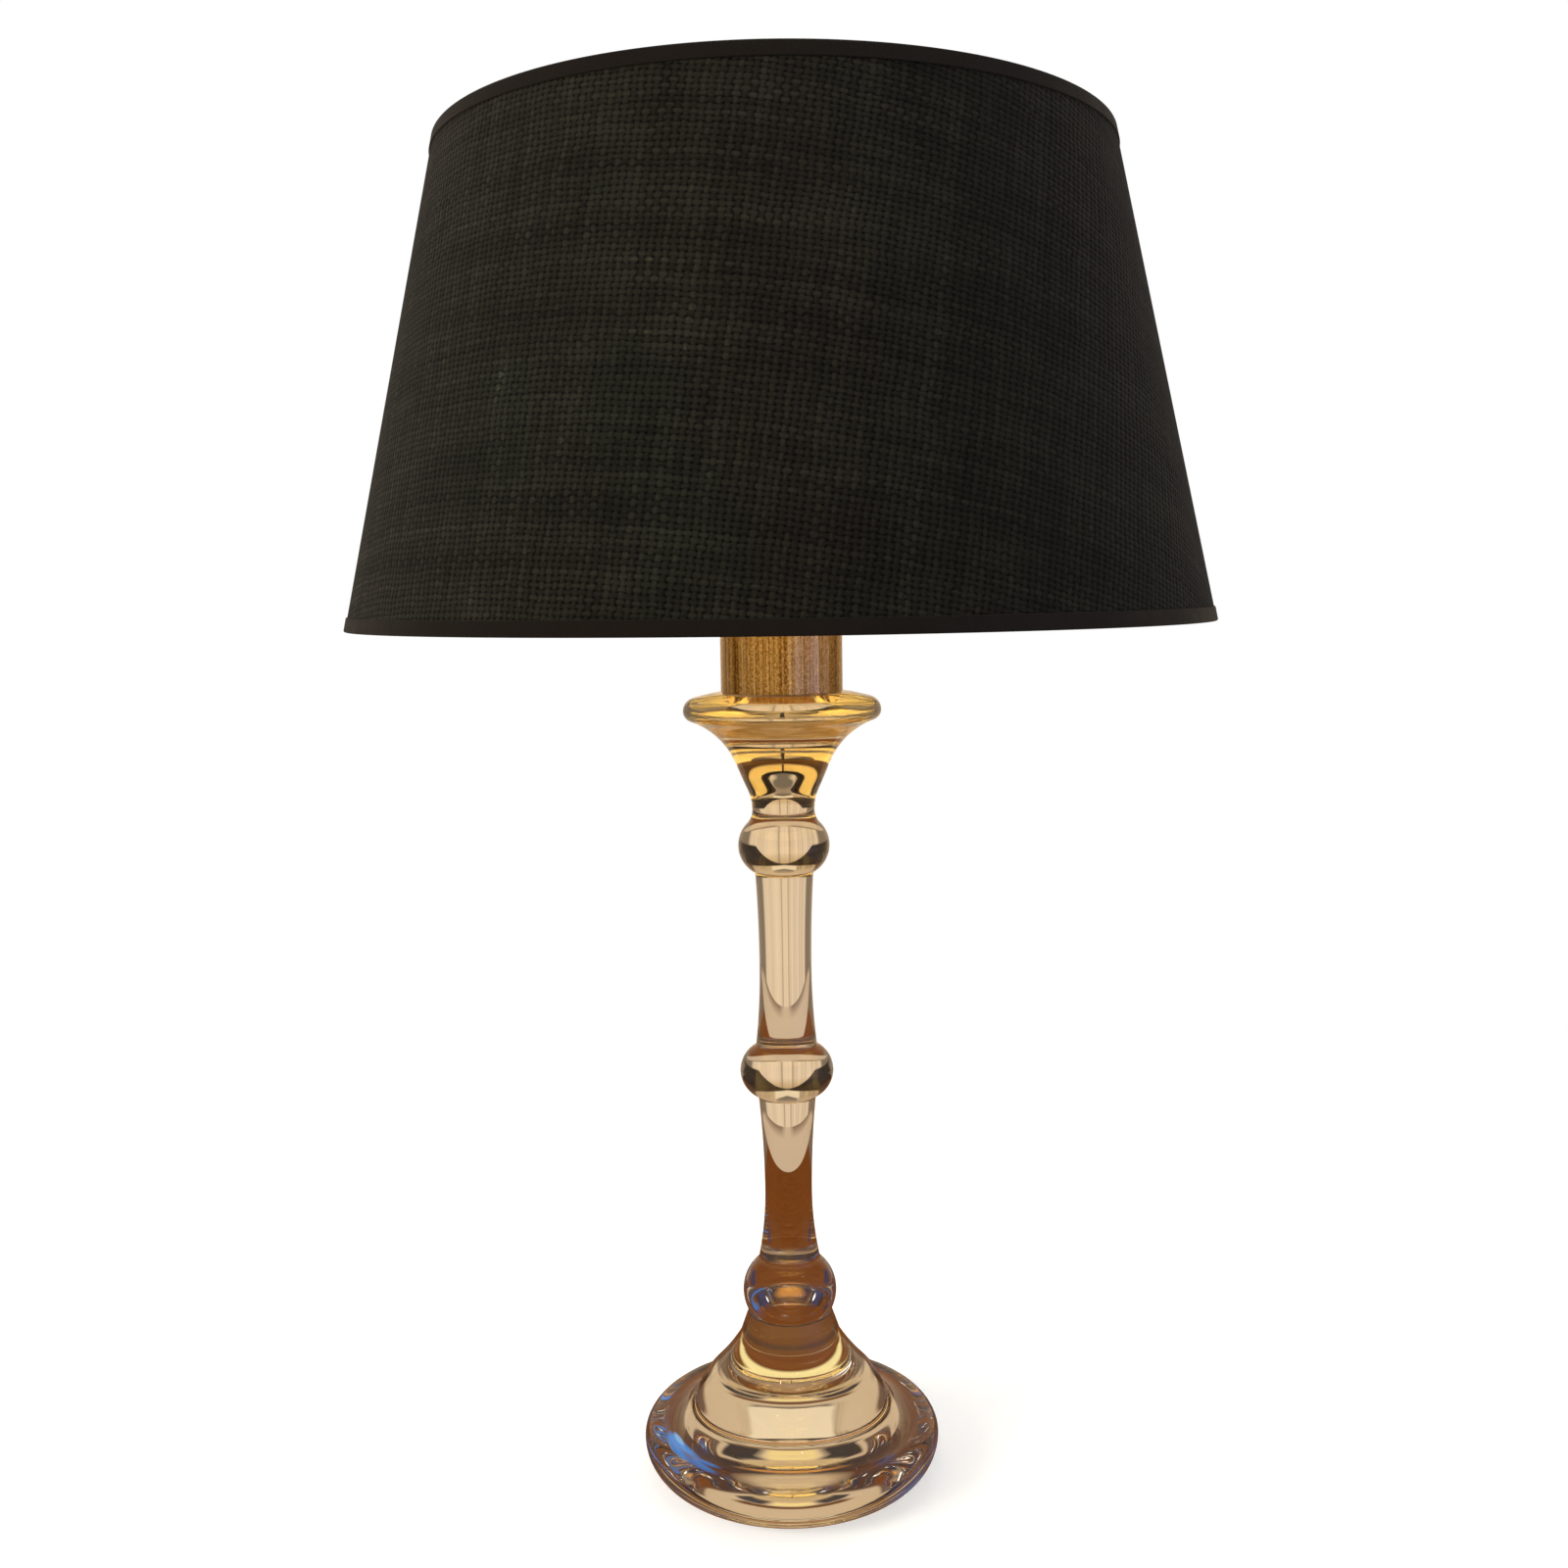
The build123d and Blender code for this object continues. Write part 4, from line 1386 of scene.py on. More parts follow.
@dataclass(frozen=True)
class Lampholder(SubAssembly):
    """The screw lampholder and the two rings that clamp the shade."""

    base: float = 388.9
    bore: float = 5.05
    bore_edge: float = 0.4
    boss_radius: float = 8.5
    boss_height: float = 5.0
    boss_edge: float = 0.5
    fillet: Point = (0.7, 0.6)
    fillet_rise: float = 0.1
    radius: float = 19.2
    shoulder: float = 9.0
    shoulder_round: Point = (2.0, 1.2)
    shoulder_drop: float = 0.75
    groove: float = 0.35
    groove_rows: tuple[float, ...] = (2.6, 2.4, 1.9, 1.7)
    cap_height: float = 24.0
    cap_bore: float = 17.4
    cap_edge: float = 0.3
    floor: float = 9.5
    seat_radius: float = 12.5
    seat: float = 14.0
    skirt_radius: float = 17.25
    skirt: float = 19.0
    mantle_radius: float = 20.0
    mantle_top: float = 53.0
    mantle_edges: Point = (0.4, 0.6)
    nose_radius: float = 18.5
    nose_height: float = 4.0
    nose_edge: float = 1.0
    bulb_bore: float = 13.4
    fit: float = 0.15
    thread_depth: float = 0.7
    thread_pitch: float = 2.5
    thread_ends: Point = (1.0, 0.7)
    rows_a_turn: int = 10
    thread_crisp: float = 50.0
    ring_seat: float = 31.0
    ring_gap: float = 0.1
    plate: float = 1.5
    flange_radius: float = 28.0
    flange: float = 2.0
    face_edge: float = 0.5
    ring_edge: float = 0.6
    hub_radius: float = 23.6
    lower_hub: float = 3.5
    upper_hub: float = 6.0
    ring_bore: float = 20.05
    ring_bore_edge: float = 0.3
    grips: int = 24
    grip_depth: float = 0.8
    grip_clear: float = 0.5
    steps_a_grip: int = 10
    ring_crisp: float = 40.0
    steps: int = 120

    def _cap(self) -> Section:
        """Draw the cap: boss, shoulder and rim round the porcelain's seat.

        Returns:
            The section.
        """
        low = self.base
        rim = low + self.cap_height
        neck = self.radius - self.groove
        deep = [rim - row for row in self.groove_rows]
        over, up = self.fillet
        back, rise = self.shoulder_round
        return (
            Section((self.bore, low + self.bore_edge), 0.6, 8.0)
            .line((self.bore + self.bore_edge, low), (self.boss_radius - self.boss_edge, low))
            .leave((self.boss_radius, low + self.boss_edge), OUTWARD)
            .line((self.boss_radius, low + self.boss_height - up))
            .carry((self.boss_radius + over, low + self.boss_height + self.fillet_rise))
            .line((self.radius - back, low + self.shoulder - self.shoulder_drop))
            .carry((self.radius, low + self.shoulder + rise))
            .line((self.radius, deep[0]), (neck, deep[1]), (neck, deep[2]), (self.radius, deep[3]))
            .line((self.radius, rim - self.cap_edge), (self.radius - self.cap_edge, rim))
            .line((self.cap_bore, rim), (self.cap_bore, low + self.seat))
            .line((self.seat_radius, low + self.seat), (self.seat_radius, low + self.floor))
            .line((self.bore, low + self.floor))
            .close()
        )

    def _shell(self) -> Section:
        """Draw the shell, with rows close enough on the mantle to take a thread.

        Returns:
            The section.
        """
        start = self.base + self.cap_height + self.fit
        top = self.base + self.mantle_top
        nose = top + self.nose_height
        foot_edge, top_edge = self.mantle_edges
        length = top - start - foot_edge - top_edge
        section = (
            Section((self.bulb_bore, self.base + self.skirt), 0.6, 8.0)
            .line((self.skirt_radius, self.base + self.skirt), (self.skirt_radius, start))
            .line((self.mantle_radius - foot_edge, start), (self.mantle_radius, start + foot_edge))
        )
        rows = ceil(length / (self.thread_pitch / self.rows_a_turn))
        for k in range(1, rows + 1):
            section.line((self.mantle_radius, start + foot_edge + length * k / rows))
        return (
            section.line((self.mantle_radius - top_edge, top), (self.nose_radius, top))
            .line((self.nose_radius, nose - self.nose_edge))
            .leave((self.nose_radius - self.nose_edge, nose), UP)
            .line((self.bulb_bore + self.nose_edge, nose))
            .leave((self.bulb_bore, nose - self.nose_edge), INWARD)
            .close()
        )

    def _ring(self, name: str, face: float, side: float, hub: float) -> bpy.types.Object:
        """Turn a clamp ring and press its grips.

        Args:
            name: its name.
            face: height of the face that meets the carrier.
            side: 1 for a ring above the carrier, -1 for one below.
            hub: height of the gripped hub.

        Returns:
            The ring.
        """
        flange = face + side * self.flange
        end = flange + side * hub
        edge = side * self.ring_edge
        section = (
            Section((self.ring_bore, face), 0.5, 10.0)
            .line((self.flange_radius - self.face_edge, face))
            .leave((self.flange_radius, face + edge), OUTWARD)
            .line((self.flange_radius, flange - edge))
            .carry((self.flange_radius - self.ring_edge, flange))
            .line((self.hub_radius + self.ring_edge, flange))
            .leave((self.hub_radius, flange + edge), INWARD)
            .line((self.hub_radius, flange + side * hub / 2.0), (self.hub_radius, end - edge))
            .carry((self.hub_radius - self.ring_edge, end))
            .line((self.ring_bore + self.ring_bore_edge, end))
            .line((self.ring_bore, end - side * self.ring_bore_edge))
            .close()
        )
        ring = Bench.turn(name, section, self.grips * self.steps_a_grip)
        low, high = sorted((flange + side * self.grip_clear, end))
        Bench.flute(ring, self.hub_radius, self.grips, self.grip_depth, (low, high))
        return ring

    def build(self) -> None:
        """Build the cap, the threaded shell and both rings."""
        cap = Bench.turn("holder_body", self._cap(), self.steps)
        self.settle(cap, Body.LAMP, "black_moulding", "holder_cap")
        shell = Bench.turn("holder_mantle", self._shell(), self.steps)
        start = self.base + self.cap_height + self.thread_ends[0]
        end = self.base + self.mantle_top - self.thread_ends[1]
        Bench.thread(shell, self.mantle_radius, self.thread_depth, self.thread_pitch, (start, end))
        self.settle(shell, Body.LAMP, "black_moulding", "holder_shell", limit=self.thread_crisp)
        face = self.base + self.ring_seat
        lower = self._ring("clamp_ring_lower", face, -1.0, self.lower_hub)
        self.settle(lower, Body.LAMP, "black_moulding", "shade_ring_lower", limit=self.ring_crisp)
        face += self.ring_gap * 2.0 + self.plate
        upper = self._ring("clamp_ring_upper", face, 1.0, self.upper_hub)
        self.settle(upper, Body.CLAMP_RING, "black_moulding", "shade_ring_upper", limit=self.ring_crisp)


@dataclass(frozen=True)
class Bulb(SubAssembly):
    """The screw bulb: cap, globe, stem and light rods."""

    base: float = 418.95
    button_radius: float = 4.8
    button: float = 1.6
    button_flat: float = 1.4
    button_dish: float = 0.05
    button_rim: float = 0.2
    button_steps: int = 64
    cone_radius: float = 5.3
    cone: float = 5.4
    cone_steps: int = 80
    lip: float = 1.2
    cap_radius: float = 13.05
    cap_wall: float = 0.6
    cap_length: float = 20.0
    cap_edge: float = 0.3
    cap_rows: int = 56
    cap_steps: int = 96
    thread_depth: float = 0.55
    thread_pitch: float = 3.629
    thread_ends: Point = (0.5, 3.0)
    fit: float = 0.05
    globe_radius: float = 30.0
    sweep_radius: float = 45.0
    wall: float = 0.8
    globe_steps: int = 128
    neck_depth: float = 10.0
    length: float = 105.0
    flare_edge: float = 1.0
    tube_radius: float = 3.2
    tube_height: float = 48.0
    tube_round: float = 0.8
    cone_height: float = 32.0
    rod_radius: float = 1.6
    stem_steps: int = 48
    light_count: int = 4
    light_radius: float = 1.0
    light_length: float = 34.0
    light_tip: float = 0.9
    light_circle: float = 9.0
    light_foot: float = 47.0
    light_steps: int = 20
    crisp: float = 60.0

    @property
    def neck(self) -> float:
        """Return the globe's neck radius, inside the cap."""
        return self.cap_radius - self.cap_wall - self.fit

    @property
    def cap_foot(self) -> float:
        """Return the height of the metal cap's lower edge."""
        return self.base + self.button + self.cone

    @property
    def globe_foot(self) -> float:
        """Return the height of the globe's open end in the cap."""
        return self.cap_foot + self.cap_length - self.neck_depth

    @property
    def centre(self) -> float:
        """Return the height of the globe's middle."""
        return self.base + self.length - self.globe_radius

    def _button(self) -> Section:
        """Draw the contact button.

        Returns:
            The section.
        """
        top = self.base + self.button
        return (
            Section((0.0, self.base), 0.4, 12.0)
            .line((self.button_radius - self.button_flat, self.base + self.button_dish))
            .leave((self.button_radius, top - self.button_rim), (1.0, 0.1))
            .line((self.button_radius, top), (0.0, top))
        )

    def _cone(self) -> Section:
        """Draw the black glass between the button and the cap.

        Returns:
            The section.
        """
        foot, top = self.base + self.button, self.cap_foot + self.lip
        return (
            Section((0.0, foot), 0.6, 8.0)
            .line((self.cone_radius, foot))
            .leave((self.neck, self.cap_foot), (1.0, 0.35))
            .line((self.neck, top), (0.0, top))
        )

    def _cap(self) -> Section:
        """Draw the metal cap, with rows close enough to take a thread.

        Returns:
            The section.
        """
        inner, edge = self.cap_radius - self.cap_wall, self.cap_edge
        low, top = self.cap_foot, self.cap_foot + self.cap_length
        section = Section((inner, low)).line((self.cap_radius - edge, low), (self.cap_radius, low + edge))
        for k in range(1, self.cap_rows + 1):
            rise = (self.cap_length - edge * 2.0) * k / self.cap_rows
            section.line((self.cap_radius, low + edge + rise))
        return section.line((self.cap_radius - edge, top), (inner, top)).close()

    def _meeting(self, inset: float) -> tuple[Point, float]:
        """Return where the globe's ball meets its neck's sweep.

        Args:
            inset: how far the surface lies inside the globe's outside.

        Returns:
            The meeting point, and the height where the sweep starts.
        """
        ball, sweep, neck = self.globe_radius - inset, self.sweep_radius + inset, self.neck - inset
        drop = sqrt((ball + sweep) ** 2 - (neck + sweep) ** 2)
        share = ball / (ball + sweep)
        return (share * (neck + sweep), self.centre - share * drop), self.centre - drop

    def _globe(self) -> Section:
        """Draw the globe's thin wall, from its foot up the outside and back down the inside.

        Returns:
            The section.
        """
        meeting, start = self._meeting(0.0)
        inner, inner_start = self._meeting(self.wall)
        neck = self.neck - self.wall
        crown = self.centre + self.globe_radius
        return (
            Section((neck, self.globe_foot), 1.5, 4.0)
            .line((self.neck, self.globe_foot), (self.neck, start))
            .leave(meeting, UP)
            .carry((0.0, crown))
            .line((0.0, crown - self.wall))
            .leave(inner, OUTWARD)
            .carry((neck, inner_start))
            .close()
        )

    def _stem(self) -> Section:
        """Draw the glass stem: flare, cone, tube and rod.

        Returns:
            The section.
        """
        flare = self.neck - self.wall - self.fit
        tube_top = self.base + self.tube_height
        crown = self.base + self.light_foot + self.light_length + self.rod_radius
        return (
            Section((0.0, self.globe_foot), 1.0, 6.0)
            .line((flare, self.globe_foot), (flare, self.globe_foot + self.flare_edge))
            .leave((self.tube_radius, self.base + self.cone_height), (-1.0, 0.25))
            .line((self.tube_radius, tube_top - self.tube_round))
            .leave((self.rod_radius, tube_top), UP)
            .line((self.rod_radius, crown - self.rod_radius))
            .leave((0.0, crown), UP)
        )

    def _lights(self) -> bpy.types.Object:
        """Turn one light rod, stand it on its circle and copy it round.

        Returns:
            The rods as one piece.
        """
        low = self.base + self.light_foot
        high = low + self.light_length
        rod = (
            Section((0.0, low), 0.3, 15.0)
            .leave((self.light_radius, low + self.light_tip), OUTWARD)
            .line((self.light_radius, high - self.light_tip))
            .leave((0.0, high), UP)
        )
        lights = Bench.turn("light_rods", rod, self.light_steps)
        lights.data.transform(Matrix.Translation((self.light_circle * MM, 0.0, 0.0)))
        copies = [lights]
        for k in range(1, self.light_count):
            mesh = lights.data.copy()
            mesh.transform(Matrix.Rotation(TAU * k / self.light_count, 4, "Z"))
            copy = bpy.data.objects.new("light_rods_copy", mesh)
            bpy.context.scene.collection.objects.link(copy)
            copies.append(copy)
        return Bench.join(copies, "light_rods")

    def build(self) -> None:
        """Build the bulb's pieces."""
        button = Bench.turn("bulb_button", self._button(), self.button_steps)
        self.settle(button, Body.BULB_FOOT, "zinc_steel", "bulb_eyelet")
        cone = Bench.turn("bulb_cone", self._cone(), self.cone_steps)
        self.settle(cone, Body.BULB_FOOT, "black_glass", "bulb_insulator")
        cap = Bench.turn("bulb_screw", self._cap(), self.cap_steps)
        start = self.cap_foot + self.thread_ends[0]
        end = self.cap_foot + self.cap_length - self.thread_ends[1]
        Bench.thread(cap, self.cap_radius, self.thread_depth, self.thread_pitch, (start, end))
        self.settle(cap, Body.BULB, "bulb_metal", "bulb_cap", limit=self.crisp)
        globe = Bench.turn("bulb_ball", self._globe(), self.globe_steps)
        globe.visible_shadow = False
        self.settle(globe, Body.BULB, "bulb_glass", "bulb_globe")
        stem = Bench.turn("bulb_mount", self._stem(), self.stem_steps)
        self.settle(stem, Body.BULB, "bulb_glass", "bulb_stem")
        self.settle(self._lights(), Body.BULB, "light_rod", "bulb_filaments", limit=self.crisp)


@dataclass(frozen=True)
class ClothShade(SubAssembly):
    """The empire shade: wire carrier, lining, woven cloth and bound rims."""

    bottom: float = 369.4
    height: float = 187.0
    bottom_radius: float = 175.0
    top_radius: float = 134.3
    cloth: float = 1.0
    cloth_rows: int = 16
    film: float = 0.5
    film_rows: int = 8
    gap: float = 0.05
    band: float = 5.0
    tape: float = 0.5
    tape_return: float = 1.4
    tape_lip: Point = (0.2, 0.25)
    tape_row: float = 2.4
    tape_fold: float = 0.7
    rim_wire: float = 2.0
    rim_inset: float = 2.6
    rim_steps: int = 256
    rim_crisp: float = 60.0
    arm_wire: float = 1.75
    arm_flat: float = 17.0
    arm_bend: float = 12.0
    arm_root: float = 0.6
    arm_stop: float = 0.7
    arm_sides: int = 20
    arm_bend_steps: int = 10
    arm_crisp: float = 40.0
    arm_angles: tuple[float, ...] = (90.0, 210.0, 330.0)
    hub_bead: Place = (2.4, 2.5, 2.1)
    hub_bead_out: float = 0.6
    rim_bead: Place = (1.9, 2.6, 1.7)
    rim_bead_move: Point = (-2.0, 1.0)
    bead_ripple: float = 0.07
    bead_waves: Point = (9.0, 7.0)
    bead_crisp: float = 80.0
    plate_bottom: float = 420.0
    plate: float = 1.5
    plate_radius: float = 31.0
    plate_round: float = 0.4
    plate_bore: float = 20.6
    plate_bore_edge: float = 0.2
    plate_steps: int = 128
    grain_middle: float = radians(-128.0)
    lap_width: float = radians(6.0)
    lap_rise: float = 0.45
    lap_edge: float = radians(0.05)
    lap_start: float = -0.01
    steps: int = 360

    @property
    def top(self) -> float:
        """Return the upper rim's height."""
        return self.bottom + self.height

    @property
    def slope(self) -> float:
        """Return the wall's lean from upright."""
        return atan((self.bottom_radius - self.top_radius) / self.height)

    def wall(self, height: float, inset: float = 0.0) -> Point:
        """Return the point of the shade's outside at a height, moved in by an inset square to the cloth."""
        radius = self.bottom_radius - (height - self.bottom) * tan(self.slope) - inset / cos(self.slope)
        return (radius, height)

    def rim_circle(self, height: float) -> float:
        """Return the radius of a rim wire's middle line."""
        return self.wall(height, self.cloth + self.film + self.gap * 2.0 + self.rim_wire)[0]

    def _skin(self, outside: float, thickness: float, rows: int) -> Section:
        """Return the closed section of a skin between the rims.

        Args:
            outside: how far its outer face lies inside the cloth's face.
            thickness: its thickness.
            rows: divisions up the wall.

        Returns:
            The closed section.
        """
        heights = [self.bottom + self.height * k / rows for k in range(rows + 1)]
        section = Section(self.wall(heights[0], outside))
        section.line(*(self.wall(h, outside) for h in heights[1:]))
        section.line(*(self.wall(h, outside + thickness) for h in reversed(heights)))
        return section.close()

    def _tape(self, edge: float, side: float) -> Section:
        """Return the section of the tape folded round a rim.

        Args:
            edge: the rim's height.
            side: 1 for the bottom rim, -1 for the top rim.

        Returns:
            The closed section, with soft folds.
        """
        face = -self.gap - self.tape
        inside = self.cloth + self.film + self.gap * 3.0 + self.rim_wire * 2.0
        cover = edge - side * self.gap
        hem = cover - side * self.tape
        fold = hem + side * self.tape_fold
        end, back = edge + side * self.band, edge + side * self.tape_return
        return (
            Section(self.wall(end, face + self.tape_lip[0]), 0.25, 12.0)
            .line(self.wall(end - side * self.tape_lip[1], face))
            .line(self.wall(edge + side * self.tape_row, face), self.wall(fold, face))
            .carry(self.wall(hem, face + self.tape_fold))
            .line(self.wall(hem, inside + self.tape - self.tape_fold))
            .carry(self.wall(fold, inside + self.tape))
            .line(self.wall(back, inside + self.tape), self.wall(back, inside), self.wall(cover, inside))
            .line(self.wall(cover, -self.gap), self.wall(end, -self.gap))
            .close()
        )

    def lay_grain(self, piece: bpy.types.Object) -> None:
        """Give a skin the flat cut panel's coordinates, in metres, as its UV map.

        Args:
            piece: The skin.
        """
        layer = piece.data.uv_layers.new(name="grain")
        apex = self.bottom + self.bottom_radius / tan(self.slope)
        for face in piece.data.polygons:
            middle = (atan2(face.center.y, face.center.x) - self.grain_middle + pi) % TAU - pi
            for loop in face.loop_indices:
                place = piece.data.vertices[piece.data.loops[loop].vertex_index].co
                turn = (atan2(place.y, place.x) - self.grain_middle - middle + pi) % TAU - pi
                fan = (middle + turn) * sin(self.slope)
                slant = (apex * MM - place.z) / cos(self.slope)
                layer.data[loop].uv = (slant * sin(fan) + 1.0, slant * cos(fan))

    def _lap(self, cloth: bpy.types.Object) -> None:
        """Raise the cloth's glued edge over its other end, and draw the mesh close behind that edge.

        Args:
            cloth: The cloth.
        """
        seam = self.grain_middle + pi
        column = TAU / self.steps

        def behind(angle: float) -> float:
            """Return how far an angle lies on the lapped side of the seam."""
            return (seam - angle + pi) % TAU - pi

        def rise(angle: float, radius: float, height: float) -> float:
            """Work out the lap's rise, on the cloth's outer face only.

            Args:
                angle: The vertex's turn round the axis.
                radius: Its radius.
                height: Its height.

            Returns:
                Its rise.
            """
            share = behind(angle) / self.lap_width
            outside = radius > self.wall(height, self.cloth / 2.0)[0]
            if not outside or not self.lap_start < share < 1.0:
                return 0.0
            return self.lap_rise * (1.0 - share**2) ** 2

        Bench.reshape(cloth, rise)
        turn = Matrix.Rotation(self.lap_edge - column, 3, "Z")
        for vertex in cloth.data.vertices:
            if abs(behind(atan2(vertex.co.y, vertex.co.x)) + column) < column / 4.0:
                vertex.co = turn @ vertex.co

    def _arm(self, angle: float) -> bpy.types.Object:
        """Bend one carrier arm from a circle of wire.

        Args:
            angle: its direction round the axis, in degrees.

        Returns:
            The arm.
        """
        middle = self.plate_bottom + self.plate / 2.0
        foot_height = self.bottom + self.rim_inset
        corner = self.plate_radius + self.arm_flat
        out, drop = self.rim_circle(foot_height) - corner, middle - foot_height
        lean = atan2(drop, out)
        setback = self.arm_bend * tan(lean / 2.0)
        start, bend = self.plate_radius - self.arm_root, corner - setback
        Bench.clear()
        bpy.ops.mesh.primitive_circle_add(
            vertices=self.arm_sides,
            radius=self.arm_wire * MM,
            fill_type="NGON",
            location=ORIGIN,
            rotation=ORIGIN,
        )
        arm = Bench.named(f"carrier_arm_{round(angle)}")
        upright = Matrix.Rotation(pi / 2.0, 4, "Y")
        arm.data.transform(Matrix.Translation((start * MM, 0.0, middle * MM)) @ upright)
        bpy.ops.object.mode_set(mode="EDIT")
        bpy.ops.mesh.select_all(action="SELECT")
        run = (bend - start) * MM
        bpy.ops.mesh.extrude_region_move(TRANSFORM_OT_translate={"value": (run, 0.0, 0.0)})
        # The spin operator turns clockwise about its axis
        bpy.ops.mesh.spin(
            steps=self.arm_bend_steps,
            angle=-lean,
            center=(bend * MM, 0.0, (middle - self.arm_bend) * MM),
            axis=(0.0, 1.0, 0.0),
        )
        length = (hypot(out, drop) - setback - self.rim_wire * self.arm_stop) * MM
        move = (length * cos(lean), 0.0, -length * sin(lean))
        bpy.ops.mesh.extrude_region_move(TRANSFORM_OT_translate={"value": move})
        Bench.tidy()
        arm.data.transform(Matrix.Rotation(radians(angle), 4, "Z"))
        return arm

    def _bead(self, place: Place, size: Place) -> bpy.types.Object:
        """Shape a weld bead.

        Args:
            place: its middle, in millimetres.
            size: its half lengths, in millimetres.

        Returns:
            The bead.
        """
        Bench.clear()
        bpy.ops.mesh.primitive_ico_sphere_add(subdivisions=3, radius=MM, location=ORIGIN)
        bead = Bench.named("weld_bead")
        across, along = self.bead_waves
        for vertex in bead.data.vertices:
            wave = sin(vertex.co.x / MM * across) * cos(vertex.co.y / MM * along)
            swell = 1.0 + self.bead_ripple * wave
            vertex.co = Vector([c * s * swell for c, s in zip(vertex.co, size)]) + Vector(place) * MM
        return bead

    def _arms(self) -> None:
        """Build the carrier's arms and the welds at both their ends."""
        middle = self.plate_bottom + self.plate / 2.0
        foot_height = self.bottom + self.rim_inset
        hub = (self.plate_radius + self.hub_bead_out, 0.0, middle)
        out, rise = self.rim_bead_move
        foot = (self.rim_circle(foot_height) + out, 0.0, foot_height + rise)
        arms, beads = [], []
        for angle in self.arm_angles:
            arms.append(self._arm(angle))
            for place, size in ((hub, self.hub_bead), (foot, self.rim_bead)):
                bead = self._bead(place, size)
                bead.data.transform(Matrix.Rotation(radians(angle), 4, "Z"))
                beads.append(bead)
        wires = Bench.join(arms, "carrier_arms")
        self.settle(wires, Body.SHADE, "black_wire", "spider_arms", limit=self.arm_crisp)
        welds = Bench.join(beads, "carrier_welds")
        self.settle(welds, Body.SHADE, "black_wire", limit=self.bead_crisp)

    def _carrier(self) -> None:
        """Build the carrier ring, its arms with their welds and the rim wires."""
        low, high = self.plate_bottom, self.plate_bottom + self.plate
        bore, edge = self.plate_bore, self.plate_bore_edge
        section = (
            Section((bore, low + edge), 0.4, 15.0)
            .line((bore + edge, low), (self.plate_radius - self.plate_round, low))
            .leave((self.plate_radius - self.plate_round, high), OUTWARD)
            .line((bore + edge, high), (bore, high - edge))
            .close()
        )
        ring = Bench.turn("carrier_ring", section, self.plate_steps)
        self.settle(ring, Body.SHADE, "black_wire", "fitter_ring")
        self._arms()
        for name, node, height in (
            ("rim_wire_bottom", "bottom_ring", self.bottom + self.rim_inset),
            ("rim_wire_top", "top_ring", self.top - self.rim_inset),
        ):
            circle = self.rim_circle(height)
            outer, inner = (circle + self.rim_wire, height), (circle - self.rim_wire, height)
            round_wire = Section(outer, 0.5, 22.0).leave(inner, UP).leave(outer, DOWN)
            wire = Bench.turn(name, round_wire, self.rim_steps)
            self.settle(wire, Body.SHADE, "black_wire", node, limit=self.rim_crisp)

    def _declare(self, cloth: bpy.types.Object) -> None:
        """Do nothing; the cloth's flat panel is not declared here.

        Args:
            cloth: The cloth; not used.
        """

    def build(self) -> None:
        """Build the carrier, the lining, the cloth with its lap and the tapes."""
        self._carrier()
        skin = self._skin(self.cloth + self.gap, self.film, self.film_rows)
        film = Bench.turn("lining_film", skin, self.steps)
        self.settle(film, Body.SHADE, "gold_lining", "shade_lining")
        cloth = Bench.turn("woven_panel", self._skin(0.0, self.cloth, self.cloth_rows), self.steps)
        self._lap(cloth)
        self.lay_grain(cloth)
        self.settle(cloth, Body.SHADE, "shade_cloth", "shade_fabric")
        self._declare(cloth)
        for name, node, edge, side in (
            ("rim_tape_bottom", "bottom_binding", self.bottom, 1.0),
            ("rim_tape_top", "top_binding", self.top, -1.0),
        ):
            tape = Bench.turn(name, self._tape(edge, side), self.steps)
            self.settle(tape, Body.SHADE, "binding_cloth", node)


@dataclass(frozen=True)
class CarriedOver(SubAssembly):
    """The small hardware that keeps its own solids."""

    slots: tuple[tuple[str, str], ...] = (
        ("cord_bush", "black_bush"),
        ("threaded_nipple", "zinc_steel"),
        ("lock_washer", "zinc_steel"),
        ("nipple_nut", "plain_brass"),
        ("holder_locking_screw", "zinc_steel"),
        ("holder_core", "porcelain"),
        ("terminal_screws", "zinc_steel"),
        ("centre_contact", "plain_brass"),
        ("side_contacts", "plain_brass"),
        ("filament_supports", "zinc_steel"),
    )

    def build(self) -> None:
        """Dress each node."""
        for node, slot in self.slots:
            Finishes.dress(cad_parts[node], slot)
            LOG.info("%s keeps its solid: %s", node, slot)


@dataclass(frozen=True)
class Patch:
    """A soft round patch of light or shade in the room.

    Its angle from straight behind the lamp and its height over the horizon are in degrees, its reach is in
    radians.
    """

    angle: float
    height: float
    reach: float
    colour: Colour


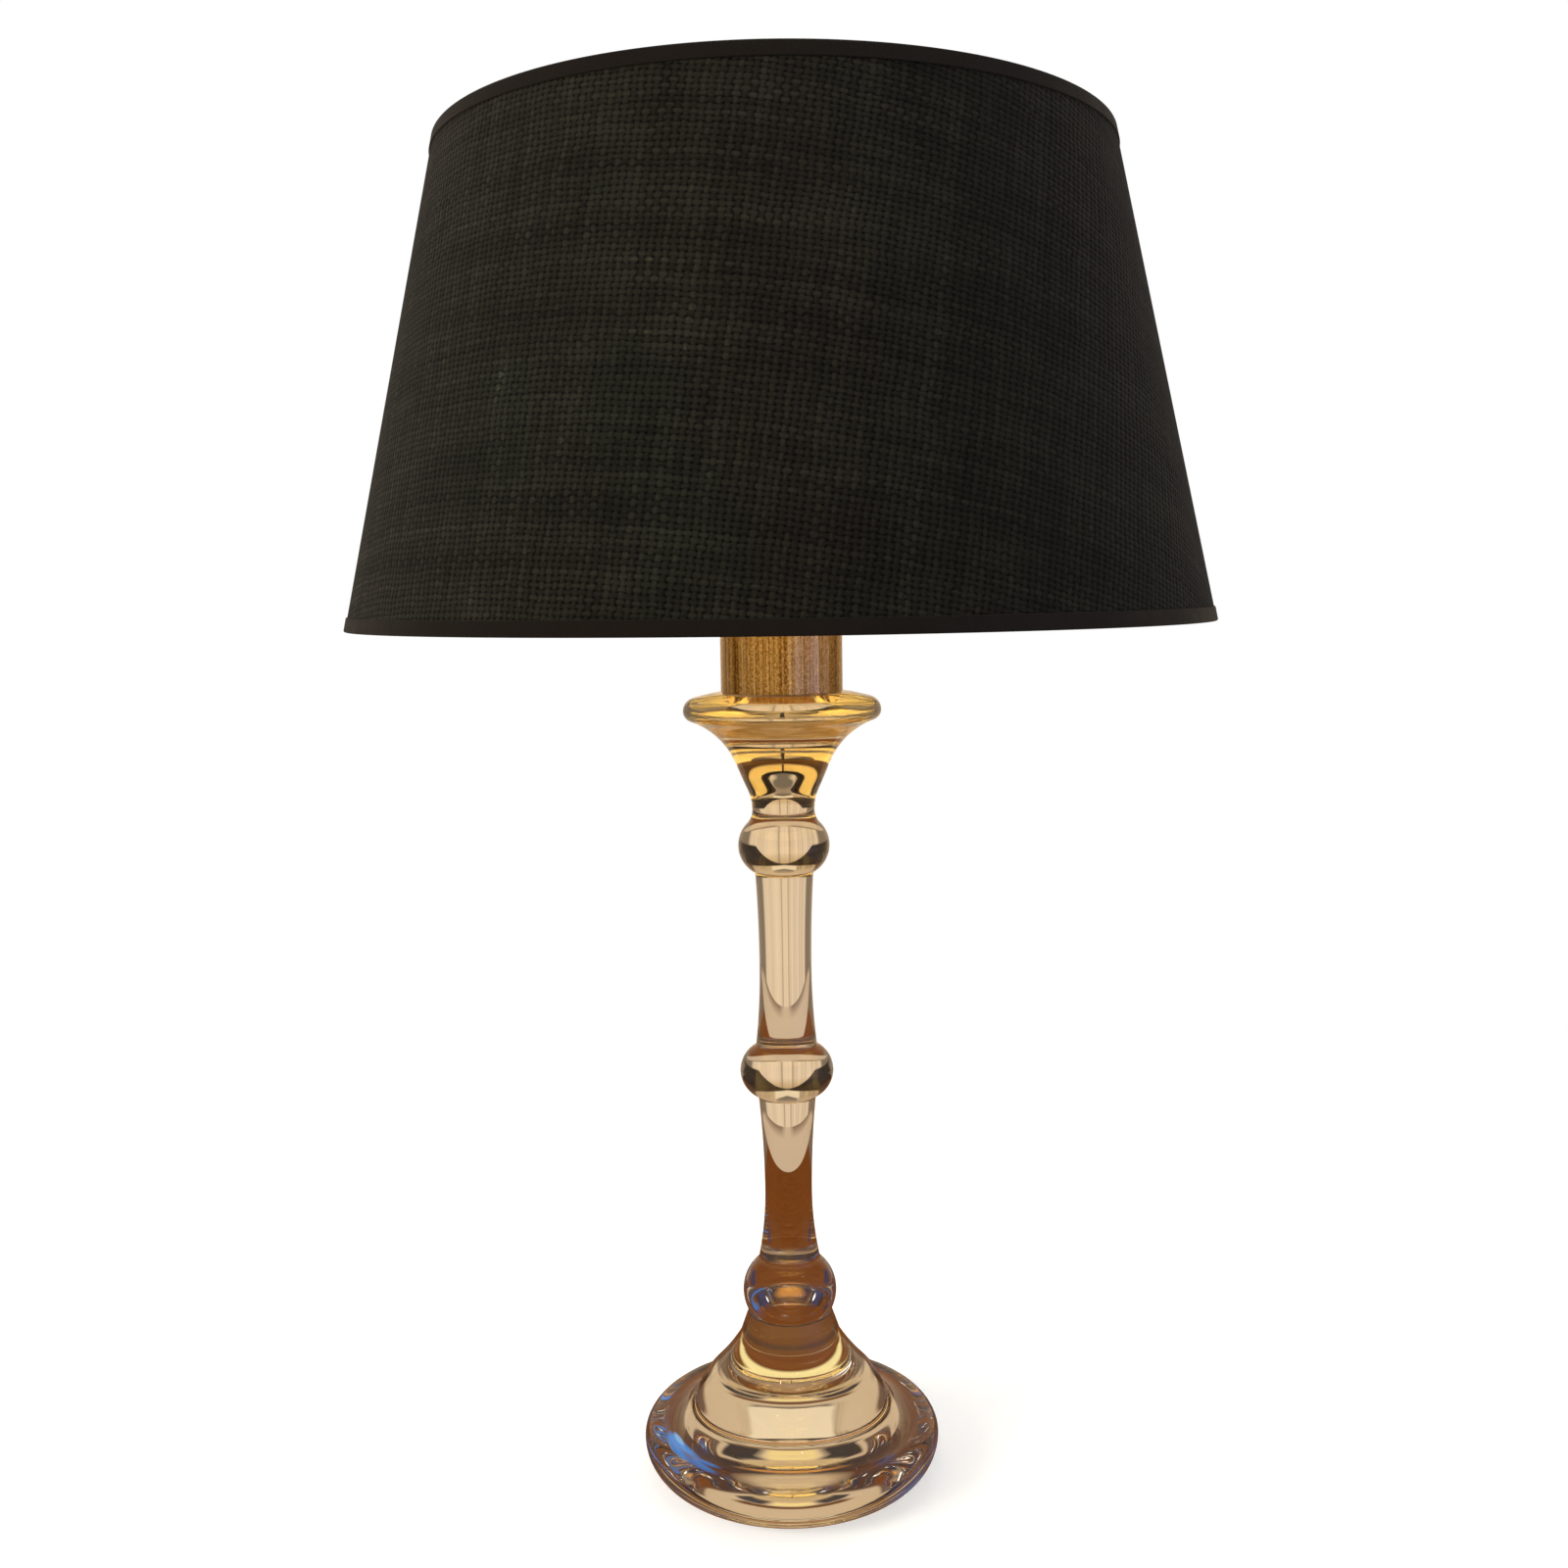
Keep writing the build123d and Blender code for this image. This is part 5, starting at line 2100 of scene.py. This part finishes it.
class Room:
    """The room that the crystal and the brass show, painted in the directions looked in.

    Edges are in degrees: heights over the horizon, or swings to either side of straight behind the lamp.
    """

    GLASS_PATCHES: tuple[Patch, ...] = (
        Patch(134.0, 44.0, 0.38, shade(0.055, 0.050, 0.115)),
        Patch(-134.0, 42.0, 0.38, shade(0.055, 0.050, 0.115)),
        Patch(172.0, 38.0, 0.10, shade(2.4, 2.2, 1.9)),
        Patch(-136.0, 34.0, 0.08, shade(2.4, 2.2, 1.9)),
        Patch(138.0, 30.0, 0.07, shade(2.4, 2.2, 1.9)),
        Patch(100.0, 17.0, 0.24, shade(0.08, 0.25, 0.70)),
        Patch(-104.0, 22.0, 0.20, shade(0.11, 0.09, 0.28)),
        Patch(180.0, 20.0, 0.20, shade(0.80, 0.30, 0.065)),
    )
    BRASS_PATCHES: tuple[Patch, ...] = (
        Patch(124.0, 0.0, 0.85, shade(0.42, 0.33, 0.43)),
        Patch(176.0, 4.0, 0.12, shade(0.95, 0.62, 0.28)),
    )
    PATCH_CORE: float = 0.35
    FOLD_RATE: float = 12.0
    FOLD_SEED: float = 3.7
    FOLD_SHARE: float = 0.6
    ARCH_LINES: Point = (-0.085, 0.075)
    CEILING_SHARE: float = 0.75

    def __init__(self, bench: NodeBench) -> None:
        """Find the directions that the room is laid out by.

        Args:
            bench: The world's nodes.
        """
        self.bench = bench
        self.ray = bench.add("ShaderNodeTexCoord").outputs["Generated"]
        right, back, up = bench.parts(self.ray)
        self.azimuth = bench.math("ARCTAN2", right, back)
        self.swing = bench.math("ABSOLUTE", self.azimuth)
        self.elevation = bench.math("ARCSINE", up)

    def _rise(self, angle: Socket, low: float, high: float, most: float = 1.0) -> Socket:
        """Return a share that rises from 0 between two angles in degrees."""
        return self.bench.span(angle, radians(low), radians(high), 0.0, most)

    def _fall(self, angle: Socket, low: float, high: float) -> Socket:
        """Return a share that falls from 1 to 0 between two angles in degrees."""
        return self.bench.span(angle, radians(low), radians(high), 1.0, 0.0)

    def _band(self, angle: Socket, low: float, high: float, soft: float) -> Socket:
        """Return 1 inside a range of degrees and 0 outside it, with soft edges."""
        rise = self._rise(angle, low - soft, low + soft)
        return self.bench.both(rise, self._fall(angle, high - soft, high + soft))

    def _folds(self, dark: Colour, light: Colour) -> Socket:
        """Shade and light a curtain's folds.

        Args:
            dark: The folds' shade.
            light: Their light.

        Returns:
            What the curtain's colour is multiplied with.
        """
        bench = self.bench
        values = {0: bench.both(self.azimuth, self.FOLD_RATE), 1: self.FOLD_SEED}
        around = bench.add("ShaderNodeCombineXYZ", values).outputs[0]
        return bench.ramp(bench.noise(around, 2.6, 3.0, 0.6), (0.34, dark), (0.5, WHITE), (0.7, light))

    def _patched(self, room: Socket, patch: Patch) -> Socket:
        """Set one patch in the room.

        Args:
            room: The room's colour.
            patch: The patch.

        Returns:
            The colour with the patch.
        """
        angle, height = radians(patch.angle), radians(patch.height)
        aim = (sin(angle) * cos(height), cos(angle) * cos(height), sin(height))
        values = {0: self.ray, 1: aim}
        near = self.bench.add("ShaderNodeVectorMath", values, operation="DISTANCE").outputs["Value"]
        share = self.bench.span(near, patch.reach * self.PATCH_CORE, patch.reach, 1.0, 0.0)
        return self.bench.mix(share, room, patch.colour)

    def _arch(self) -> Socket:
        """Lay out the pale arch behind the lamp, with the window and curtain over it.

        Returns:
            Their colour.
        """
        bench, elevation = self.bench, self.elevation
        folds = self._folds(shade(0.62, 0.56, 0.50), shade(1.16, 1.12, 1.05))
        arch = bench.mix(self._rise(elevation, 1.0, 11.0), shade(0.80, 0.62, 0.42), shade(0.62, 0.42, 0.22))
        arch = bench.mix(self.FOLD_SHARE, arch, folds, "MULTIPLY")
        for edge in self.ARCH_LINES:
            near = bench.math("ABSOLUTE", bench.math("SUBTRACT", self.azimuth, edge))
            arch = bench.mix(bench.span(near, 0.008, 0.018, 0.55, 0.0), arch, shade(0.24, 0.15, 0.09))
        curtain = bench.mix(1.0, shade(0.54, 0.39, 0.22), folds, "MULTIPLY")
        over = bench.mix(self._fall(self.swing, 11.0, 13.0), curtain, shade(0.88, 0.70, 0.45))
        return bench.mix(self._rise(elevation, 13.6, 14.2), arch, over)

    def _upper(self, room: Socket) -> Socket:
        """Set what stands over the window: a recess, a shelf and a lit lamp.

        Args:
            room: The room's colour.

        Returns:
            The colour with them.
        """
        bench, swing, elevation = self.bench, self.swing, self.elevation
        room = bench.mix(self._rise(elevation, 20.0, 24.0), room, shade(0.66, 0.48, 0.29))
        deep = bench.math("MULTIPLY_ADD", swing, -0.22, elevation)
        hollow = bench.both(self._rise(deep, 18.0, 18.8), self._fall(elevation, 23.7, 24.3))
        back = self._rise(elevation, 21.4, 22.2)
        recess = bench.mix(back, shade(0.21, 0.165, 0.12), shade(0.40, 0.29, 0.18))
        room = bench.mix(bench.both(hollow, self._fall(swing, 9.0, 13.0)), room, recess)
        shelf = bench.both(self._band(elevation, 29.0, 36.0, 1.2), self._fall(swing, 18.0, 23.0))
        room = bench.mix(shelf, room, shade(0.17, 0.075, 0.028))
        beside = bench.both(self._band(elevation, 37.0, 47.0, 1.0), self._band(swing, 11.0, 30.0, 2.0))
        room = bench.mix(beside, room, shade(0.055, 0.042, 0.034))
        lamp = bench.both(self._band(elevation, 37.5, 46.0, 1.0), self._fall(swing, 7.0, 10.0))
        room = bench.mix(lamp, room, shade(0.95, 0.70, 0.28))
        return bench.mix(self._rise(elevation, 44.0, 50.0), room, shade(0.60, 0.41, 0.20))

    def in_glass(self) -> Socket:
        """Lay out the room that the crystal shows: a pale arch, a window over it and dim sides.

        Returns:
            Its colour.
        """
        bench, swing, elevation = self.bench, self.swing, self.elevation
        room = self._upper(self._arch())
        dim = bench.noise(bench.stretch(self.ray, (3.0, 3.0, 8.0)), 1.6, 3.0)
        gloom = bench.mix(dim, shade(0.005, 0.004, 0.004), shade(0.055, 0.040, 0.029))
        sag = bench.math("MULTIPLY_ADD", bench.both(self.azimuth, self.azimuth), 1.26, elevation)
        lift = bench.math("MULTIPLY_ADD", swing, -0.13, elevation)
        shadow = bench.both(self._rise(sag, 12.0, 12.8), self._fall(lift, 13.6, 14.4))
        room = bench.mix(bench.both(shadow, self._rise(elevation, -5.5, -3.5)), room, gloom)
        flank = bench.mix(self._rise(elevation, 16.0, 22.0), gloom, shade(0.17, 0.108, 0.066))
        flank = bench.mix(self._rise(elevation, -5.5, -3.0), shade(0.24, 0.18, 0.125), flank)
        room = bench.mix(self._rise(swing, 36.0, 41.0), room, flank)
        behind = bench.mix(dim, shade(0.018, 0.014, 0.014), shade(0.085, 0.062, 0.050))
        room = bench.mix(self._rise(swing, 95.0, 125.0), room, behind)
        room = bench.mix(self._rise(swing, 158.0, 170.0), room, shade(0.32, 0.235, 0.15))
        for patch in self.GLASS_PATCHES:
            room = self._patched(room, patch)
        return room

    def in_brass(self) -> Socket:
        """Lay out the room that the brass shows: a pale curtain behind the lamp, brown walls elsewhere.

        Returns:
            Its colour.
        """
        bench = self.bench
        walls = bench.ramp(
            bench.math("DIVIDE", self.swing, pi),
            (0.0, shade(0.82, 0.64, 0.44)),
            (0.20, shade(0.60, 0.46, 0.32)),
            (0.32, shade(0.24, 0.165, 0.10)),
            (0.50, shade(0.30, 0.21, 0.12)),
            (0.72, shade(0.52, 0.37, 0.22)),
            (1.0, shade(0.54, 0.38, 0.21)),
        )
        folds = self._folds(shade(0.42, 0.38, 0.34), shade(1.25, 1.2, 1.1))
        room = bench.mix(self.FOLD_SHARE, walls, folds, "MULTIPLY")
        for patch in self.BRASS_PATCHES:
            room = self._patched(room, patch)
        ceiling = self._rise(self.elevation, 14.0, 42.0, self.CEILING_SHARE)
        return bench.mix(ceiling, room, shade(0.10, 0.07, 0.045))


@dataclass(frozen=True)
class Panel:
    """A soft light panel: where it hangs and points, its side, its power and its colour."""

    name: str
    place: Place
    aim: Place
    size: float
    power: float
    colour: Place

    def hang(self) -> None:
        """Hang the panel, out of sight of the camera, the brass and the glass."""
        bpy.ops.object.light_add(type="AREA", location=self.place)
        lamp = bpy.context.object
        lamp.name = self.name
        lamp.data.energy = self.power
        lamp.data.size = self.size
        lamp.data.color = self.colour
        lamp.rotation_euler = (Vector(self.aim) - Vector(self.place)).to_track_quat("-Z", "Y").to_euler()
        lamp.visible_camera = False
        lamp.visible_glossy = False
        lamp.visible_transmission = False


@dataclass(frozen=True)
class Studio:
    """Floor, lights, surroundings and camera."""

    floor_radius: float = 1.2
    floor_drop: float = 0.0004
    floor_sides: int = 96
    camera_place: Place = (0.0004, -0.665, 0.3839)
    camera_dip: float = radians(7.06)
    camera_roll: float = radians(-0.78)
    lens: float = 36.52
    sensor: float = 36.0
    nearest: float = 0.01
    panels: tuple[Panel, ...] = (
        Panel("panel_left", (-2.0, -1.1, 1.1), (0.0, 0.0, 0.4), 1.2, 70.0, (1.0, 0.90, 0.74)),
        Panel("panel_right", (1.9, -1.2, 1.0), (0.0, 0.0, 0.35), 1.1, 7.0, (0.80, 0.90, 1.0)),
        Panel("panel_top", (0.0, 0.2, 2.2), ORIGIN, 1.8, 27.0, (1.0, 1.0, 1.0)),
    )
    spots: tuple[Place, ...] = ((-0.5, -1.3, 1.5), (0.35, -1.6, 1.6), (0.9, -0.6, 1.5), (-1.1, -0.2, 1.6))
    spot_power: float = 0.5
    spot_size: float = 0.014
    spot_colour: Place = (1.0, 0.95, 0.86)
    bulb_height: float = 0.494
    bulb_power: float = 3.8
    bulb_size: float = 0.022
    bulb_colour: Place = (1.0, 0.90, 0.56)
    ambient: Colour = shade(0.40, 0.41, 0.42)

    def build(self) -> None:
        """Set the studio up."""
        self._floor()
        self._lights()
        self._surroundings()
        self._camera()
        self._exposure()

    def _floor(self) -> None:
        """Lay the pale floor."""
        Bench.clear()
        bpy.ops.mesh.primitive_circle_add(
            vertices=self.floor_sides,
            radius=self.floor_radius,
            fill_type="NGON",
            location=(0.0, 0.0, -self.floor_drop),
        )
        floor = bpy.context.object
        floor.name = "studio_floor"
        floor.data.materials.append(PaleFloorFinish().make())

    @staticmethod
    def _point(name: str, place: Place, power: float, size: float, colour: Place) -> bpy.types.Object:
        """Set a small round light.

        Args:
            name: its name.
            place: where it is.
            power: its power.
            size: its radius.
            colour: its colour.

        Returns:
            The light, out of the camera's sight.
        """
        bpy.ops.object.light_add(type="POINT", location=place)
        light = bpy.context.object
        light.name = name
        light.data.energy = power
        light.data.shadow_soft_size = size
        light.data.color = colour
        light.visible_camera = False
        return light

    def _lights(self) -> None:
        """Hang the panels, the small ceiling spots and the bulb's own light."""
        for panel in self.panels:
            panel.hang()
        for k, place in enumerate(self.spots):
            self._point(f"ceiling_spot_{k}", place, self.spot_power, self.spot_size, self.spot_colour)
        centre = (0.0, 0.0, self.bulb_height)
        glow = self._point("bulb_glow", centre, self.bulb_power, self.bulb_size, self.bulb_colour)
        glow.visible_glossy = False
        glow.visible_transmission = False

    def _surroundings(self) -> None:
        """Put a plain white round the view, and a warm room round what the glass and brass show."""
        world = bpy.data.worlds.new("studio_room")
        bpy.context.scene.world = world
        world.use_nodes = True
        bench = NodeBench(world.node_tree)
        room = Room(bench)
        path = bench.add("ShaderNodeLightPath")
        seen = bench.mix(path.outputs["Is Transmission Ray"], room.in_brass(), room.in_glass())
        seen = bench.mix(path.outputs["Is Diffuse Ray"], seen, self.ambient)
        seen = bench.mix(path.outputs["Is Camera Ray"], seen, WHITE)
        bench.feed(world.node_tree.nodes["Background"], "Color", seen)

    def _camera(self) -> None:
        """Stand the camera where the photograph was taken."""
        bpy.ops.object.camera_add(location=self.camera_place)
        camera = bpy.context.object
        camera.name = "studio_camera"
        dip = Matrix.Rotation(pi / 2.0 - self.camera_dip, 4, "X")
        camera.rotation_euler = (dip @ Matrix.Rotation(self.camera_roll, 4, "Z")).to_euler()
        camera.data.sensor_width = self.sensor
        camera.data.lens = self.lens
        camera.data.clip_start = self.nearest
        bpy.context.scene.camera = camera

    @staticmethod
    def _exposure() -> None:
        """Keep the colours as they are lit, and let light go on through the crystal."""
        scene = bpy.context.scene
        scene.view_settings.view_transform = "Standard"
        scene.cycles.max_bounces = 24
        scene.cycles.glossy_bounces = 16
        scene.cycles.transmission_bounces = 20
        scene.cycles.transparent_max_bounces = 12


def main() -> None:
    """Build every group in order."""
    logging.basicConfig(level=logging.INFO, format="%(name)s: %(message)s")
    Bench.clear()
    groups: tuple[SubAssembly, ...] = (
        Crystal(),
        BrassCup(),
        Lampholder(),
        Bulb(),
        ClothShade(),
        CarriedOver(),
    )
    for group in groups:
        group.build()
    Studio().build()


if __name__ == "__main__":
    main()
